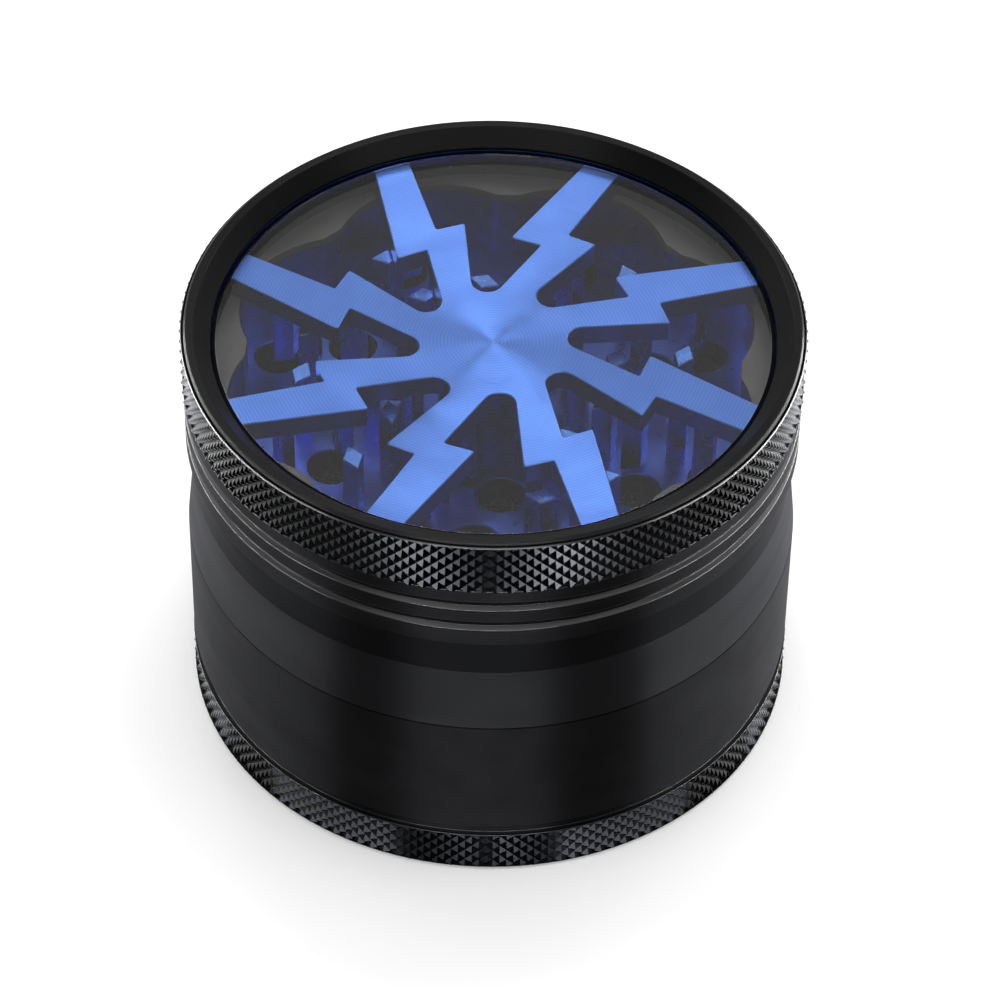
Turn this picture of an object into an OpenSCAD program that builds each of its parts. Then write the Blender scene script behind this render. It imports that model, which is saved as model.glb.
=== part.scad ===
// Four-piece screw-together herb grinder: a windowed lid with a lightning-bolt
// star of teeth, a grinding chamber, a sieve chamber and a catch tray.
// Millimetres. Z is up, and the origin is the centre of the base.

/* [Overall] */
// Diameter of the smooth sieve chamber, which the other diameters follow
body_dia = 62.8; // [60:0.1:66]
// How far the knurled bands stand proud of the sieve chamber
knurl_proud = 0.1; // [0:0.05:0.3]
// How far the lid's skirt lies inside the sieve chamber's surface
skirt_relief = 0.1; // [0:0.05:0.3]
// How far the grinding chamber's waist lies inside that surface
waist_relief = 0.75; // [0.4:0.05:1.2]

/* [Stack heights] */
// Height of the catch tray
tray_h = 6.5; // [6:0.1:10]
// Height of the sieve chamber between its two joint lines
sieve_h = 14.85; // [12:0.05:20]
// Height of the grinding chamber from its lower joint to its shoulder
chamber_h = 11.65; // [11:0.05:14]
// Height of the neck that the lid turns on
neck_h = 7.6; // [7:0.1:9]
// Gap between the chamber's shoulder and the lid's skirt
lid_gap = 0.35; // [0.2:0.05:0.8]

/* [Catch tray] */
// Thickness of the tray's floor
tray_floor = 1.5; // [1.2:0.1:2]
// Lowest edge of the knurl above the base
knurl_start = 0.4; // [0.3:0.1:0.8]
// Height of the shadow groove over the tray's knurl
tray_groove_h = 1.3; // [0.8:0.1:1.6]
// Depth of the shadow groove and of the base chamfer
edge_relief = 0.5; // [0.3:0.1:0.8]
// Width of the shelf under the sieve's spigot
tray_shelf_w = 1.7; // [1.2:0.1:4]
// Gap between the sieve's spigot and the shelf it comes down to
spigot_gap = 0.3; // [0.2:0.05:0.5]

/* [Threads] */
// Wall outside both threaded sockets
socket_wall = 2.5; // [2:0.1:3]
// Depth of both threaded sockets
socket_depth = 4.1; // [3.9:0.1:4.4]
// Rise of one turn
thread_pitch = 1.5; // [1.2:0.1:1.6]
// Height of a thread ridge
thread_height = 0.6; // [0.4:0.05:0.7]
// Turns of ridge on each part
thread_turns = 1.5; // [1:0.25:1.6]
// Radial clearance between mating thread crests and roots
thread_clear = 0.2; // [0.15:0.05:0.3]
// Width of a ridge at its root
thread_root_w = 0.9; // [0.7:0.05:0.95]
// Width of a ridge at its crest
thread_crest_w = 0.25; // [0.15:0.05:0.4]

/* [Sieve] */
// Wall of the spigot under the screen, inside its thread
sieve_spigot_wall = 2.9; // [2.4:0.1:4]
// Wall of the sieve chamber over the screen
sieve_wall = 4.4; // [4:0.1:5]
// Height of the screen's seat over the sieve chamber's lower joint
screen_seat_h = 1.9; // [1.5:0.1:3]
// Thickness of the woven screen
screen_t = 0.3; // [0.2:0.05:0.5]
// Height of the spring ring that holds the screen
ring_h = 1.2; // [0.8:0.1:1.6]
// Radial width of the spring ring
ring_w = 1.5; // [1:0.1:1.6]
// Width of the cut in the spring ring
ring_cut = 3; // [1:0.5:6]
// Radial clearance of the screen and its ring
screen_clear = 0.05; // [0.02:0.01:0.1]

/* [Grinding chamber] */
// Height of the outer cone over the lower joint
cone_h = 7.4; // [4:0.1:9]
// Width of the shoulder that the neck rises from
shoulder_w = 1.45; // [1.2:0.05:2]
// Thickness of the tooth floor
floor_t = 3; // [2.5:0.1:4]
// Height of the neck's rim over the tooth floor
bowl_depth = 7.3; // [6.5:0.1:8]
// Wall of the neck at the cusps between its scallops
cusp_wall = 4.2; // [3.8:0.1:4.6]
// Wall of the neck at the middle of each scallop
scallop_wall = 1.7; // [1.5:0.1:2]
// Radius of each scallop
scallop_r = 11; // [10.5:0.1:11.5]
// Angle of the first scallop
scallop_turn = 20.1; // [0:0.1:45]
// Wall of the spigot under the tooth floor, inside its thread
under_wall = 1.5; // [1.2:0.1:2.5]
// Radius of the post that carries the chamber's magnet
post_r = 5.6; // [5:0.1:6]

/* [Drop holes] */
// Diameter of every drop hole
hole_dia = 4.8; // [3:0.1:5]
// Number of inner holes
inner_holes = 3; // [2:1:4]
// Number of middle holes
middle_holes = 6; // [4:1:7]
// How far the inner holes' circle lies inside the chamber's inner teeth
inner_hole_step = 1.25; // [1:0.05:2]
// How far the middle holes' circle lies inside the chamber's outer teeth
middle_hole_step = 1.55; // [1:0.05:2]
// Floor between the outer holes, one in each scallop, and the wall below
outer_hole_edge = 0.4; // [0.3:0.1:1]
// Angle of the first inner hole
inner_hole_turn = 35; // [30:1:40]
// Angle of the first middle hole
middle_hole_turn = 25; // [20:1:30]
// Angle of the first outer hole
outer_hole_turn = 24; // [20:1:28]

/* [Teeth] */
// Side of a diamond tooth
tooth_side = 2.1; // [1.6:0.1:2.2]
// Sharp corner angle of a diamond tooth
tooth_corner = 64; // [50:1:70]
// Lean of a tooth's long diagonal from the direction of turning
tooth_lean = 26; // [10:1:30]
// Clearance over and under the tooth tips
tooth_tip_gap = 0.7; // [0.4:0.1:1.2]
// Distance from the magnet post to the circle of the lid's inner teeth
lid_inner_gap = 3.4; // [3.2:0.1:3.6]
// Distance from the wall's cusps to the circle of the lid's outer teeth
lid_outer_gap = 2.2; // [2:0.1:2.6]
// Angle of the first inner tooth of the lid
lid_inner_turn = -17.9; // [-20:0.1:-16]
// Angle of the first middle tooth of the lid
lid_middle_turn = -26; // [-28:0.1:-24]
// Angle of the first outer tooth of the lid
lid_outer_turn = -20.7; // [-22:0.1:-19]
// Chamber teeth between two inner drop holes
chamber_inner_teeth = 3; // [1:1:3]
// Chamber teeth between two middle drop holes
chamber_outer_teeth = 2; // [1:1:2]

/* [Lid] */
// Thickness of the glide ring
glide_t = 0.9; // [0.6:0.1:1.2]
// Thickness of the lightning-bolt star
star_t = 2.4; // [2:0.1:3]
// Thickness of the star's rim where it rests on the lid's ledge
rim_t = 0.7; // [0.5:0.1:1]
// Thickness of the window
window_t = 1.5; // [1.2:0.1:2]
// Width of the bevel on the window's edge
window_bevel = 0.5; // [0.2:0.05:0.6]
// Running clearance between the neck and the lid's skirt
skirt_clear = 0.3; // [0.2:0.05:0.35]
// Wall of the lid round the star, the window and the bezel
lid_wall = 1.63; // [1.5:0.01:1.9]
// Width of the ledge that the star rests on
ledge_w = 1.52; // [1.3:0.01:1.7]
// Width of the star's rim round the window
star_rim_w = 1.4; // [1.2:0.1:1.5]
// Fit clearance of pressed-in pieces
press_clear = 0.02; // [0.01:0.01:0.05]
// Height of the knurled band on the lid
lid_knurl_h = 5.9; // [5:0.1:6.2]
// Height of each of the two turned grooves
groove_h = 1.15; // [0.8:0.05:1.3]
// Depth of both grooves
groove_depth = 0.45; // [0.3:0.05:0.6]
// Height of the lower groove over the skirt's lower edge
lower_groove_h = 2.1; // [1.5:0.1:2.4]
// Height of the upper groove over the skirt's lower edge
upper_groove_h = 4.85; // [4.4:0.05:5.2]

/* [Bezel] */
// Height of the bezel ring over the window
bezel_h = 2; // [1.6:0.1:3]
// Height of the bezel's upright inner lip
bezel_lip_h = 0.35; // [0.2:0.05:0.6]
// Height of the flange that covers the lid's bore
bezel_flange_h = 0.45; // [0.35:0.05:0.6]
// Distance of the bezel's flat top inside the knurled band
land_inset = 0.65; // [0.5:0.05:0.8]
// Width of the bezel's flat top
land_w = 0.8; // [0.5:0.05:1.2]
// Chamfer round the outside of the bezel's flat top
land_chamfer = 0.2; // [0.1:0.05:0.3]

/* [Lightning bolts] */
// Radius of the round inner end of each slot between two bolts
slot_round = 1.6; // [1:0.1:1.7]
// Star between the lid's boss and the slots' round inner ends
hub_margin = 1.25; // [1:0.05:1.6]
// Angle of a slot's inner end from the slot's line of count
slot_root_turn = 4.6; // [4:0.1:5.2]
// How far the step in a slot's anticlockwise side lies outside the middle teeth
left_step_out = 2.2; // [2:0.05:2.4]
// Angle of the anticlockwise side's inner corner
left_inner_turn = 10; // [9:0.1:11]
// Fall of that step towards the axis
left_step_fall = 0.23; // [0.1:0.01:0.5]
// Angle of the anticlockwise side's outer corner
left_outer_turn = 19.95; // [19.5:0.05:20.4]
// Angle of the anticlockwise side's outer end
left_end_turn = 18.4; // [17.5:0.1:19]
// How far the step in a slot's clockwise side lies inside the middle teeth
right_step_in = 0.09; // [0:0.01:0.3]
// Angle of the clockwise side's inner corner
right_inner_turn = -5.8; // [-7:0.1:-5]
// Fall of that step towards the axis
right_step_fall = 0.47; // [0.2:0.01:0.7]
// Angle of the clockwise side's outer corner
right_outer_turn = -17.7; // [-18.2:0.1:-17]
// Angle of the clockwise side's outer end
right_end_turn = -19.8; // [-20.4:0.1:-19]

/* [Magnets] */
// Diameter of both magnets
magnet_dia = 8; // [6:0.5:8]
// Thickness of both magnets
magnet_t = 2; // [1.5:0.1:2.4]
// Radius of the boss that holds the lid's magnet
lid_boss_r = 6.2; // [5.6:0.1:6.4]
// Depth of the lid's boss under the star
lid_boss_h = 1.6; // [1.2:0.1:2]
// Gap between the lid's boss and the chamber's post
post_gap = 0.6; // [0.4:0.1:1]
// Radial clearance of a magnet in its pocket
magnet_clear = 0.05; // [0.02:0.01:0.1]

/* [Hidden] */
$fn = 96;

body_r = body_dia / 2;
knurl_r = body_r + knurl_proud;
skirt_r = body_r - skirt_relief;
waist_r = body_r - waist_relief;
neck_r = waist_r - shoulder_w;
socket_r = body_r - socket_wall;
sieve_bowl_r = body_r - sieve_wall;
// Chamfer on the edges at the joint lines
joint_chamfer = 0.15;
// Overlap of joined solids, and overshoot of cutting ones
overlap = 0.2;
// Radial clearance of the window in its cup and of the star inside the ledge
seat_clear = 0.05;
// Number of lightning bolts, of scallops and of teeth in each ring of the lid
folds = 8;
// How far the slots' sides run on past the star's plate
slot_overrun = 2.75;
// How far a slot's straight sides pass inside its round end
slot_bite = 0.06;

// Heights of the stack, from the base up
z_sieve = tray_h;
z_chamber = z_sieve + sieve_h;
z_shoulder = z_chamber + chamber_h;
z_neck = z_shoulder + neck_h;
z_star = z_neck + glide_t;
z_window = z_star + star_t;
z_bezel = z_window + window_t;
z_top = z_bezel + bezel_h;
z_skirt = z_shoulder + lid_gap;
z_floor = z_neck - bowl_depth;
z_screen = z_sieve + screen_seat_h;
z_post = z_star - lid_boss_h - post_gap;

// Threads: ridge crests clear the mating roots by thread_clear
thread_root_r = socket_r - thread_clear - thread_height;
sieve_spigot_bore = thread_root_r - sieve_spigot_wall;
under_r = thread_root_r - under_wall;
spigot_len = socket_depth - spigot_gap;
thread_span = thread_turns * thread_pitch;
thread_margin = (spigot_len - thread_span) / 2;
// Straight steps in one turn of a ridge
thread_steps = 40;
// Steps over which a ridge rises at each end
thread_fade = 4;
// Depth of a ridge's foot inside its wall
thread_sunk = 0.1;

// Star rim: a cup around the window, resting on the lid's ledge
lid_bore_r = knurl_r - lid_wall;
ledge_r = lid_bore_r - ledge_w;
star_rim_r = lid_bore_r - press_clear;
cup_r = star_rim_r - star_rim_w;
window_r = cup_r - seat_clear;
z_rim = z_window - rim_t;

// Scalloped wall
cusp_r = neck_r - cusp_wall;
scallop_pcr = neck_r - scallop_wall - scallop_r;

// Teeth: the lid's three rings run between the chamber's two, evenly spaced,
// and both sets reach over the same height from opposite sides
lid_inner_pcr = post_r + lid_inner_gap;
lid_outer_pcr = cusp_r - lid_outer_gap;
ring_step = (lid_outer_pcr - lid_inner_pcr) / 4;
chamber_inner_pcr = lid_inner_pcr + ring_step;
lid_middle_pcr = chamber_inner_pcr + ring_step;
chamber_outer_pcr = lid_middle_pcr + ring_step;
tooth_h = bowl_depth + glide_t - tooth_tip_gap;

// Circles of the drop holes
inner_hole_pcr = chamber_inner_pcr - inner_hole_step;
middle_hole_pcr = chamber_outer_pcr - middle_hole_step;
outer_hole_pcr = under_r - outer_hole_edge - hole_dia / 2;

function polar(radius, turn) = [radius * cos(turn), radius * sin(turn)];
// Point where the line from p touches the circle round c, on side s
function touch(c, r, p, s) =
    let (d = norm(p - c), a = atan2(p[1] - c[1], p[0] - c[0]), b = acos(r / d))
    c + r * [cos(a + s * b), sin(a + s * b)];

module ring_of(count, radius, turn = 0) {
    for (k = [0 : count - 1]) rotate(turn + k * 360 / count) translate([radius, 0]) children();
}

// Helical ridge, rising anticlockwise; it fades out over its first and last steps.
// way = 1 points outwards from radius r, way = -1 points inwards.
module thread_ridge(r, way, start) {
    steps = ceil(thread_turns * thread_steps);
    root_h = thread_root_w / 2;
    crest_h = thread_crest_w / 2;
    ring = function (k)
        let (a = start + 360 * k / thread_steps,
             z = thread_pitch * k / thread_steps,
             grow = min(1, (min(k, steps - k) + 1) / thread_fade),
             base = r - way * thread_sunk,
             crest = r + way * thread_height * grow,
             slope = [[base, -root_h], [crest, -crest_h * grow], [crest, crest_h * grow], [base, root_h]])
        [for (q = slope) [q[0] * cos(a), q[0] * sin(a), z + q[1]]];
    points = [for (k = [0 : steps]) each ring(k)];
    sides = [for (k = [0 : steps - 1], j = [0 : 3])
        let (a = 4 * k + j, b = 4 * k + (j + 1) % 4) each [[a, a + 4, b], [b, a + 4, b + 4]]];
    last = 4 * steps;
    ends = [[0, 1, 2], [0, 2, 3], [last, last + 2, last + 1], [last, last + 3, last + 2]];
    faces = concat(sides, ends);
    polyhedron(points, way < 0 ? faces : [for (f = faces) [f[0], f[2], f[1]]]);
}

// Thread ridge on a spigot whose lower end is at z
module outer_thread(z) {
    translate([0, 0, z + thread_margin + thread_pitch / 2]) thread_ridge(thread_root_r, 1, 0);
}

// Matching ridge in the socket: half a pitch lower
module inner_thread(z) {
    translate([0, 0, z + thread_margin]) thread_ridge(socket_r, -1, 0);
}

module catch_tray() {
    shelf = tray_h - socket_depth;
    groove = tray_h - tray_groove_h;
    bowl_r = socket_r - tray_shelf_w;
    color([0.07, 0.07, 0.08]) {
        rotate_extrude() polygon([
            [0, 0], [knurl_r - edge_relief, 0], [knurl_r, knurl_start],
            [knurl_r, groove], [knurl_r - edge_relief, groove + joint_chamfer],
            [knurl_r - edge_relief, tray_h - joint_chamfer], [knurl_r - edge_relief - joint_chamfer, tray_h],
            [socket_r, tray_h], [socket_r, shelf], [bowl_r, shelf],
            [bowl_r, tray_floor + edge_relief], [bowl_r - edge_relief, tray_floor],
            [0, tray_floor]]);
        inner_thread(shelf + spigot_gap);
    }
}

module sieve_chamber() {
    spigot = z_sieve - spigot_len;
    socket = z_chamber - socket_depth;
    color([0.08, 0.08, 0.09]) {
        rotate_extrude() polygon([
            [sieve_spigot_bore, spigot], [thread_root_r, spigot], [thread_root_r, z_sieve],
            [body_r - joint_chamfer, z_sieve], [body_r, z_sieve + joint_chamfer],
            [body_r, z_chamber - joint_chamfer], [body_r - joint_chamfer, z_chamber],
            [socket_r, z_chamber], [socket_r, socket], [sieve_bowl_r, socket],
            [sieve_bowl_r, z_screen], [sieve_spigot_bore, z_screen]]);
        outer_thread(spigot);
        inner_thread(socket + spigot_gap);
    }
}

module sieve_screen() {
    color([0.75, 0.75, 0.74]) translate([0, 0, z_screen])
        cylinder(r = sieve_bowl_r - screen_clear, h = screen_t);
}

module screen_ring() {
    ring_r = sieve_bowl_r - screen_clear;
    color([0.6, 0.6, 0.6]) translate([0, 0, z_screen + screen_t]) difference() {
        cylinder(r = ring_r, h = ring_h);
        translate([0, 0, -overlap]) cylinder(r = ring_r - ring_w, h = ring_h + 2 * overlap);
        translate([ring_r - 2 * ring_w, -ring_cut / 2, -overlap])
            cube([3 * ring_w, ring_cut, ring_h + 2 * overlap]);
    }
}

// Inner outline of the chamber's wall: a bore with a scallop for each bolt
module scalloped_bore(margin = 0) {
    circle(r = cusp_r + margin);
    ring_of(folds, scallop_pcr, scallop_turn) circle(r = scallop_r + margin);
}

module drop_holes() {
    ring_of(inner_holes, inner_hole_pcr, inner_hole_turn) circle(d = hole_dia);
    ring_of(middle_holes, middle_hole_pcr, middle_hole_turn) circle(d = hole_dia);
    ring_of(folds, outer_hole_pcr, outer_hole_turn) circle(d = hole_dia);
}

module grinding_chamber() {
    spigot = z_chamber - spigot_len;
    color([0.1, 0.1, 0.12]) {
        difference() {
            rotate_extrude() polygon([
                [0, z_floor - floor_t], [under_r, z_floor - floor_t], [under_r, spigot],
                [thread_root_r, spigot], [thread_root_r, z_chamber],
                [body_r - joint_chamfer, z_chamber], [body_r, z_chamber + joint_chamfer],
                [waist_r, z_chamber + cone_h], [waist_r, z_shoulder - joint_chamfer],
                [waist_r - joint_chamfer, z_shoulder], [neck_r, z_shoulder],
                [neck_r, z_neck - joint_chamfer], [neck_r - joint_chamfer, z_neck], [0, z_neck]]);
            translate([0, 0, z_floor]) linear_extrude(bowl_depth + overlap) difference() {
                scalloped_bore();
                circle(r = post_r);
            }
            translate([0, 0, z_post]) cylinder(r = post_r + overlap, h = z_neck);
            translate([0, 0, z_post - magnet_t]) cylinder(r = magnet_dia / 2 + magnet_clear, h = z_neck);
            translate([0, 0, z_floor - floor_t - overlap])
                linear_extrude(floor_t + 2 * overlap) drop_holes();
        }
        outer_thread(spigot);
    }
}

// Diamond tooth, its long diagonal turned from the direction of travel
module tooth() {
    long_half = tooth_side * cos(tooth_corner / 2);
    short_half = tooth_side * sin(tooth_corner / 2);
    linear_extrude(tooth_h) rotate(90 - tooth_lean)
        polygon([[long_half, 0], [0, short_half], [-long_half, 0], [0, -short_half]]);
}

// Teeth spaced evenly between the holes of a ring whose first hole is at turn
module teeth_between(holes, teeth, radius, turn) {
    step = 360 / (holes * (teeth + 1));
    for (k = [1 : teeth]) ring_of(holes, radius, turn + k * step) tooth();
}

module chamber_teeth() {
    color([0.2, 0.3, 0.8]) translate([0, 0, z_floor]) {
        teeth_between(inner_holes, chamber_inner_teeth, chamber_inner_pcr, inner_hole_turn);
        teeth_between(middle_holes, chamber_outer_teeth, chamber_outer_pcr, middle_hole_turn);
    }
}

module chamber_magnet() {
    color([0.8, 0.8, 0.82]) translate([0, 0, z_post - magnet_t])
        cylinder(d = magnet_dia, h = magnet_t);
}

module glide_ring() {
    color([0.85, 0.84, 0.8]) translate([0, 0, z_neck]) linear_extrude(glide_t) difference() {
        circle(r = neck_r - joint_chamfer);
        scalloped_bore(press_clear);
    }
}

module lid_body() {
    knurl_top = z_top - bezel_flange_h - joint_chamfer;
    knurl_low = knurl_top - lid_knurl_h;
    neck_bore = neck_r + skirt_clear;
    low_1 = z_skirt + lower_groove_h;
    low_2 = z_skirt + upper_groove_h;
    valley = skirt_r - groove_depth;
    rise = groove_h / 4;
    color([0.06, 0.06, 0.07]) rotate_extrude() polygon([
        [neck_bore, z_skirt], [skirt_r - joint_chamfer, z_skirt], [skirt_r, z_skirt + joint_chamfer],
        [skirt_r, low_1], [valley, low_1 + rise], [skirt_r, low_1 + groove_h],
        [skirt_r, low_2], [valley, low_2 + rise], [skirt_r, low_2 + groove_h],
        [skirt_r, knurl_low - joint_chamfer], [knurl_r, knurl_low], [knurl_r, knurl_top],
        [knurl_r - joint_chamfer, knurl_top + joint_chamfer], [lid_bore_r, knurl_top + joint_chamfer],
        [lid_bore_r, z_rim], [ledge_r, z_rim], [ledge_r, z_star], [neck_bore, z_star]]);
}

// One slot between two bolts: a round inner end, and a step in each side
module bolt_slot() {
    root = polar(lid_boss_r + hub_margin + slot_round, slot_root_turn);
    bite = slot_round - slot_bite;
    end_r = cup_r + slot_overrun;
    left_step_r = lid_middle_pcr + left_step_out;
    right_step_r = lid_middle_pcr - right_step_in;
    left_inner = polar(left_step_r, left_inner_turn);
    right_outer = polar(right_step_r - right_step_fall, right_outer_turn);
    translate(root) circle(r = slot_round);
    polygon([root, touch(root, bite, right_outer, -1), right_outer,
             polar(right_step_r, right_inner_turn), polar(end_r, right_end_turn),
             polar(end_r, left_end_turn), polar(left_step_r - left_step_fall, left_outer_turn),
             left_inner, touch(root, bite, left_inner, 1)]);
}

module star_plate() {
    foot_r = ledge_r - seat_clear;
    foot_h = star_t - rim_t;
    color([0.36, 0.53, 0.9]) difference() {
        union() {
            translate([0, 0, z_star]) linear_extrude(star_t) difference() {
                circle(r = cup_r + overlap);
                for (k = [0 : folds - 1]) rotate(k * 360 / folds) bolt_slot();
            }
            translate([0, 0, z_star - lid_boss_h]) cylinder(r = lid_boss_r, h = lid_boss_h + overlap);
            rotate_extrude() polygon([
                [cup_r, z_rim], [star_rim_r, z_rim], [star_rim_r, z_bezel], [cup_r, z_bezel]]);
        }
        translate([0, 0, z_star - overlap]) difference() {
            cylinder(r = star_rim_r, h = foot_h + overlap);
            cylinder(r = foot_r, h = foot_h + overlap);
        }
        translate([0, 0, z_star - lid_boss_h - overlap])
            cylinder(r = magnet_dia / 2 + magnet_clear, h = magnet_t + overlap);
    }
}

module lid_teeth() {
    color([0.25, 0.38, 0.85]) translate([0, 0, z_star - tooth_h]) {
        ring_of(folds, lid_inner_pcr, lid_inner_turn) tooth();
        ring_of(folds, lid_middle_pcr, lid_middle_turn) tooth();
        ring_of(folds, lid_outer_pcr, lid_outer_turn) tooth();
    }
}

module lid_magnet() {
    color([0.8, 0.8, 0.82]) translate([0, 0, z_star - lid_boss_h])
        cylinder(d = magnet_dia, h = magnet_t);
}

module window() {
    color([0.8, 0.85, 0.9, 0.4]) rotate_extrude() polygon([
        [0, z_window], [window_r, z_window], [window_r, z_bezel - window_bevel],
        [window_r - window_bevel, z_bezel], [0, z_bezel]]);
}

module bezel_ring() {
    lip_r = window_r + 2 * seat_clear;
    land_out_r = knurl_r - land_inset;
    land_in_r = land_out_r - land_w;
    flange_r = land_out_r + land_chamfer;
    flange_z = z_top - bezel_flange_h;
    color([0.05, 0.05, 0.06]) rotate_extrude() polygon([
        [lip_r, z_bezel], [star_rim_r, z_bezel], [star_rim_r, flange_z], [flange_r, flange_z],
        [flange_r, z_top - land_chamfer], [land_out_r, z_top], [land_in_r, z_top],
        [lip_r, z_bezel + bezel_lip_h]]);
}

catch_tray();
sieve_chamber();
sieve_screen();
screen_ring();
grinding_chamber();
chamber_teeth();
chamber_magnet();
glide_ring();
lid_body();
star_plate();
lid_teeth();
lid_magnet();
window();
bezel_ring();
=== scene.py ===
"""Looks of a windowed four-piece herb grinder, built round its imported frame.

Sizes are in millimetres unless a comment says metres, and every mesh is scaled to metres as it
is made. Z is up, and the origin is the centre of the grinder's base.
"""

import logging
import math
from collections.abc import Callable
from dataclasses import dataclass
from enum import Enum

import bmesh
import bpy
from mathutils import Matrix, Vector


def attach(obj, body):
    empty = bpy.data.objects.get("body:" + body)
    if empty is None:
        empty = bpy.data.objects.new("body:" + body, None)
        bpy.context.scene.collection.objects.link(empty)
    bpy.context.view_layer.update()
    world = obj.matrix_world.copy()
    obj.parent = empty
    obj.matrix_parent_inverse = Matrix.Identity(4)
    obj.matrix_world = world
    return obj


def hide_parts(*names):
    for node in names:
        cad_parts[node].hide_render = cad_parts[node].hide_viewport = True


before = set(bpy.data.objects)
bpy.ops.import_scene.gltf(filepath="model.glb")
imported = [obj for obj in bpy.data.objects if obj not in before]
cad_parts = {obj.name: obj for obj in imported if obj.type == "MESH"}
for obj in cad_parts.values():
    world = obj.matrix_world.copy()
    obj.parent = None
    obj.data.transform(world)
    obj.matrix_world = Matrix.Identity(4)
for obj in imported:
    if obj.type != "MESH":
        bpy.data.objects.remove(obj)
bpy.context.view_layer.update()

MM = 0.001
LOG = logging.getLogger("grinder")

CREASE = 32.0  # faces that meet at more than this many degrees keep a sharp edge
NEARLY_FOLDED, NEARLY_STRAIGHT = math.radians(2), math.radians(177)
MOST_REACH = 0.45  # share of a side that a rounding may take
HOLD, MOST_HOLD = 0.03, 0.04  # strip beside a rounding, and the share of a side that it may take
LEAST_LEAN = 0.35  # keeps the corners of a chamfer from running away where they are sharp
LIP_RISE = (0.3, 0.95)  # range of a lip's normal along Z, up or down
WALL_RISE = 0.5  # a face whose normal rises or falls less than this is a wall
BEVEL_RISE = 0.8  # and one that rises less than this is a wall or a bevel
NOISE_LOW, NOISE_HIGH = 0.3, 0.7  # usual range of noise

Point = tuple[float, float]
Polar = tuple[float, float]  # radius and angle in degrees
Span = tuple[float, float]  # first and last
Corner = tuple[float, float, float]
Object = bpy.types.Object
Material = bpy.types.Material
Socket = bpy.types.NodeSocket


# ---------------------------------------------------------------- outlines and meshes


def polar(radius: float, degrees: float) -> Point:
    """Plan point at a radius and an angle."""
    a = math.radians(degrees)
    return radius * math.cos(a), radius * math.sin(a)


def bearing(point: Point) -> float:
    """Angle of a plan point round the Z axis, in degrees."""
    return math.degrees(math.atan2(point[1], point[0]))


def spun(section: list[Point], angle: float, lift: float = 0.0) -> list[Corner]:
    """Points of a section of radii and heights, turned to an angle in radians and lifted."""
    c, s = math.cos(angle), math.sin(angle)
    return [(r * c, r * s, z + lift) for r, z in section]


def rounded(outline: list[Corner], steps: int = 3) -> list[Point]:
    """Rounds the corners of a closed outline.

    Args:
        outline: corners as (x, y, radius); a radius of 0 keeps the corner sharp.
        steps: straight steps in each rounding.

    Returns:
        The outline's points, in the same order. Each rounding has a narrow strip on both sides,
        which keeps the shading of the faces beyond it flat.
    """
    points: list[Point] = []
    for i, (x, y, radius) in enumerate(outline):
        here = Vector((x, y))
        before = Vector(outline[i - 1][:2]) - here
        after = Vector(outline[(i + 1) % len(outline)][:2]) - here
        turn = before.angle(after, 0.0) if before.length and after.length else math.pi
        if radius <= 0 or not NEARLY_FOLDED <= turn <= NEARLY_STRAIGHT:
            points.append((x, y))
            continue
        shorter = min(before.length, after.length)
        reach = min(radius / math.tan(turn / 2), MOST_REACH * shorter)
        start, end = here + before.normalized() * reach, here + after.normalized() * reach
        arc = [start * (1 - t) ** 2 + here * 2 * t * (1 - t) + end * t**2
               for t in (k / steps for k in range(steps + 1))]
        arc.insert(0, start + before.normalized() * min(HOLD, MOST_HOLD * before.length))
        arc.append(end + after.normalized() * min(HOLD, MOST_HOLD * after.length))
        points += [(p.x, p.y) for p in arc]
    return points


def linked(name: str, data: bpy.types.ID | None) -> Object:
    """Adds an object to the scene.

    Args:
        name: name of the new object.
        data: what it shows.

    Returns:
        The new object.
    """
    obj = bpy.data.objects.new(name, data)
    bpy.context.scene.collection.objects.link(obj)
    return obj


def raw_object(name: str, verts: list, faces: list) -> Object:
    """Makes a mesh object.

    Args:
        name: name of the new object and its mesh.
        verts: points in millimetres.
        faces: numbers of each face's points.

    Returns:
        The new object.
    """
    mesh = bpy.data.meshes.new(name)
    mesh.from_pydata([Vector(v) * MM for v in verts], [], faces)
    return linked(name, mesh)


def tidy_mesh(obj: Object, crease: float = CREASE, weld: float = 0.0005) -> Object:
    """Merges doubled points, turns the normals outwards and smooths up to the crease angle.

    Args:
        obj: mesh object to tidy in place.
        crease: angle over which an edge stays sharp, in degrees.
        weld: distance under which points are merged.

    Returns:
        The same object.
    """
    bm = bmesh.new()
    bm.from_mesh(obj.data)
    bmesh.ops.remove_doubles(bm, verts=bm.verts, dist=weld * MM)
    bmesh.ops.dissolve_degenerate(bm, dist=weld * MM, edges=bm.edges)
    bmesh.ops.recalc_face_normals(bm, faces=bm.faces)
    for face in bm.faces:
        face.smooth = True
    bm.to_mesh(obj.data)
    bm.free()
    obj.data.set_sharp_from_angle(angle=math.radians(crease))
    return obj


def lathe(name: str, profile: list[Corner], segments: int = 288) -> Object:
    """Turns a closed profile round the Z axis.

    Args:
        name: name of the new object.
        profile: corners as (radius, height, rounding), in order round the section.
        segments: straight steps in one turn.

    Returns:
        The turned object.
    """
    section = rounded(profile)
    n = len(section)
    verts, faces = [], []
    for k in range(segments):
        verts += spun(section, 2 * math.pi * k / segments)
        a, b = k * n, (k + 1) % segments * n
        for i in range(n):
            j = (i + 1) % n
            if section[i][0] >= 1e-9 or section[j][0] >= 1e-9:
                faces.append((a + i, b + i, b + j, a + j))
    return tidy_mesh(raw_object(name, verts, faces))


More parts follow.
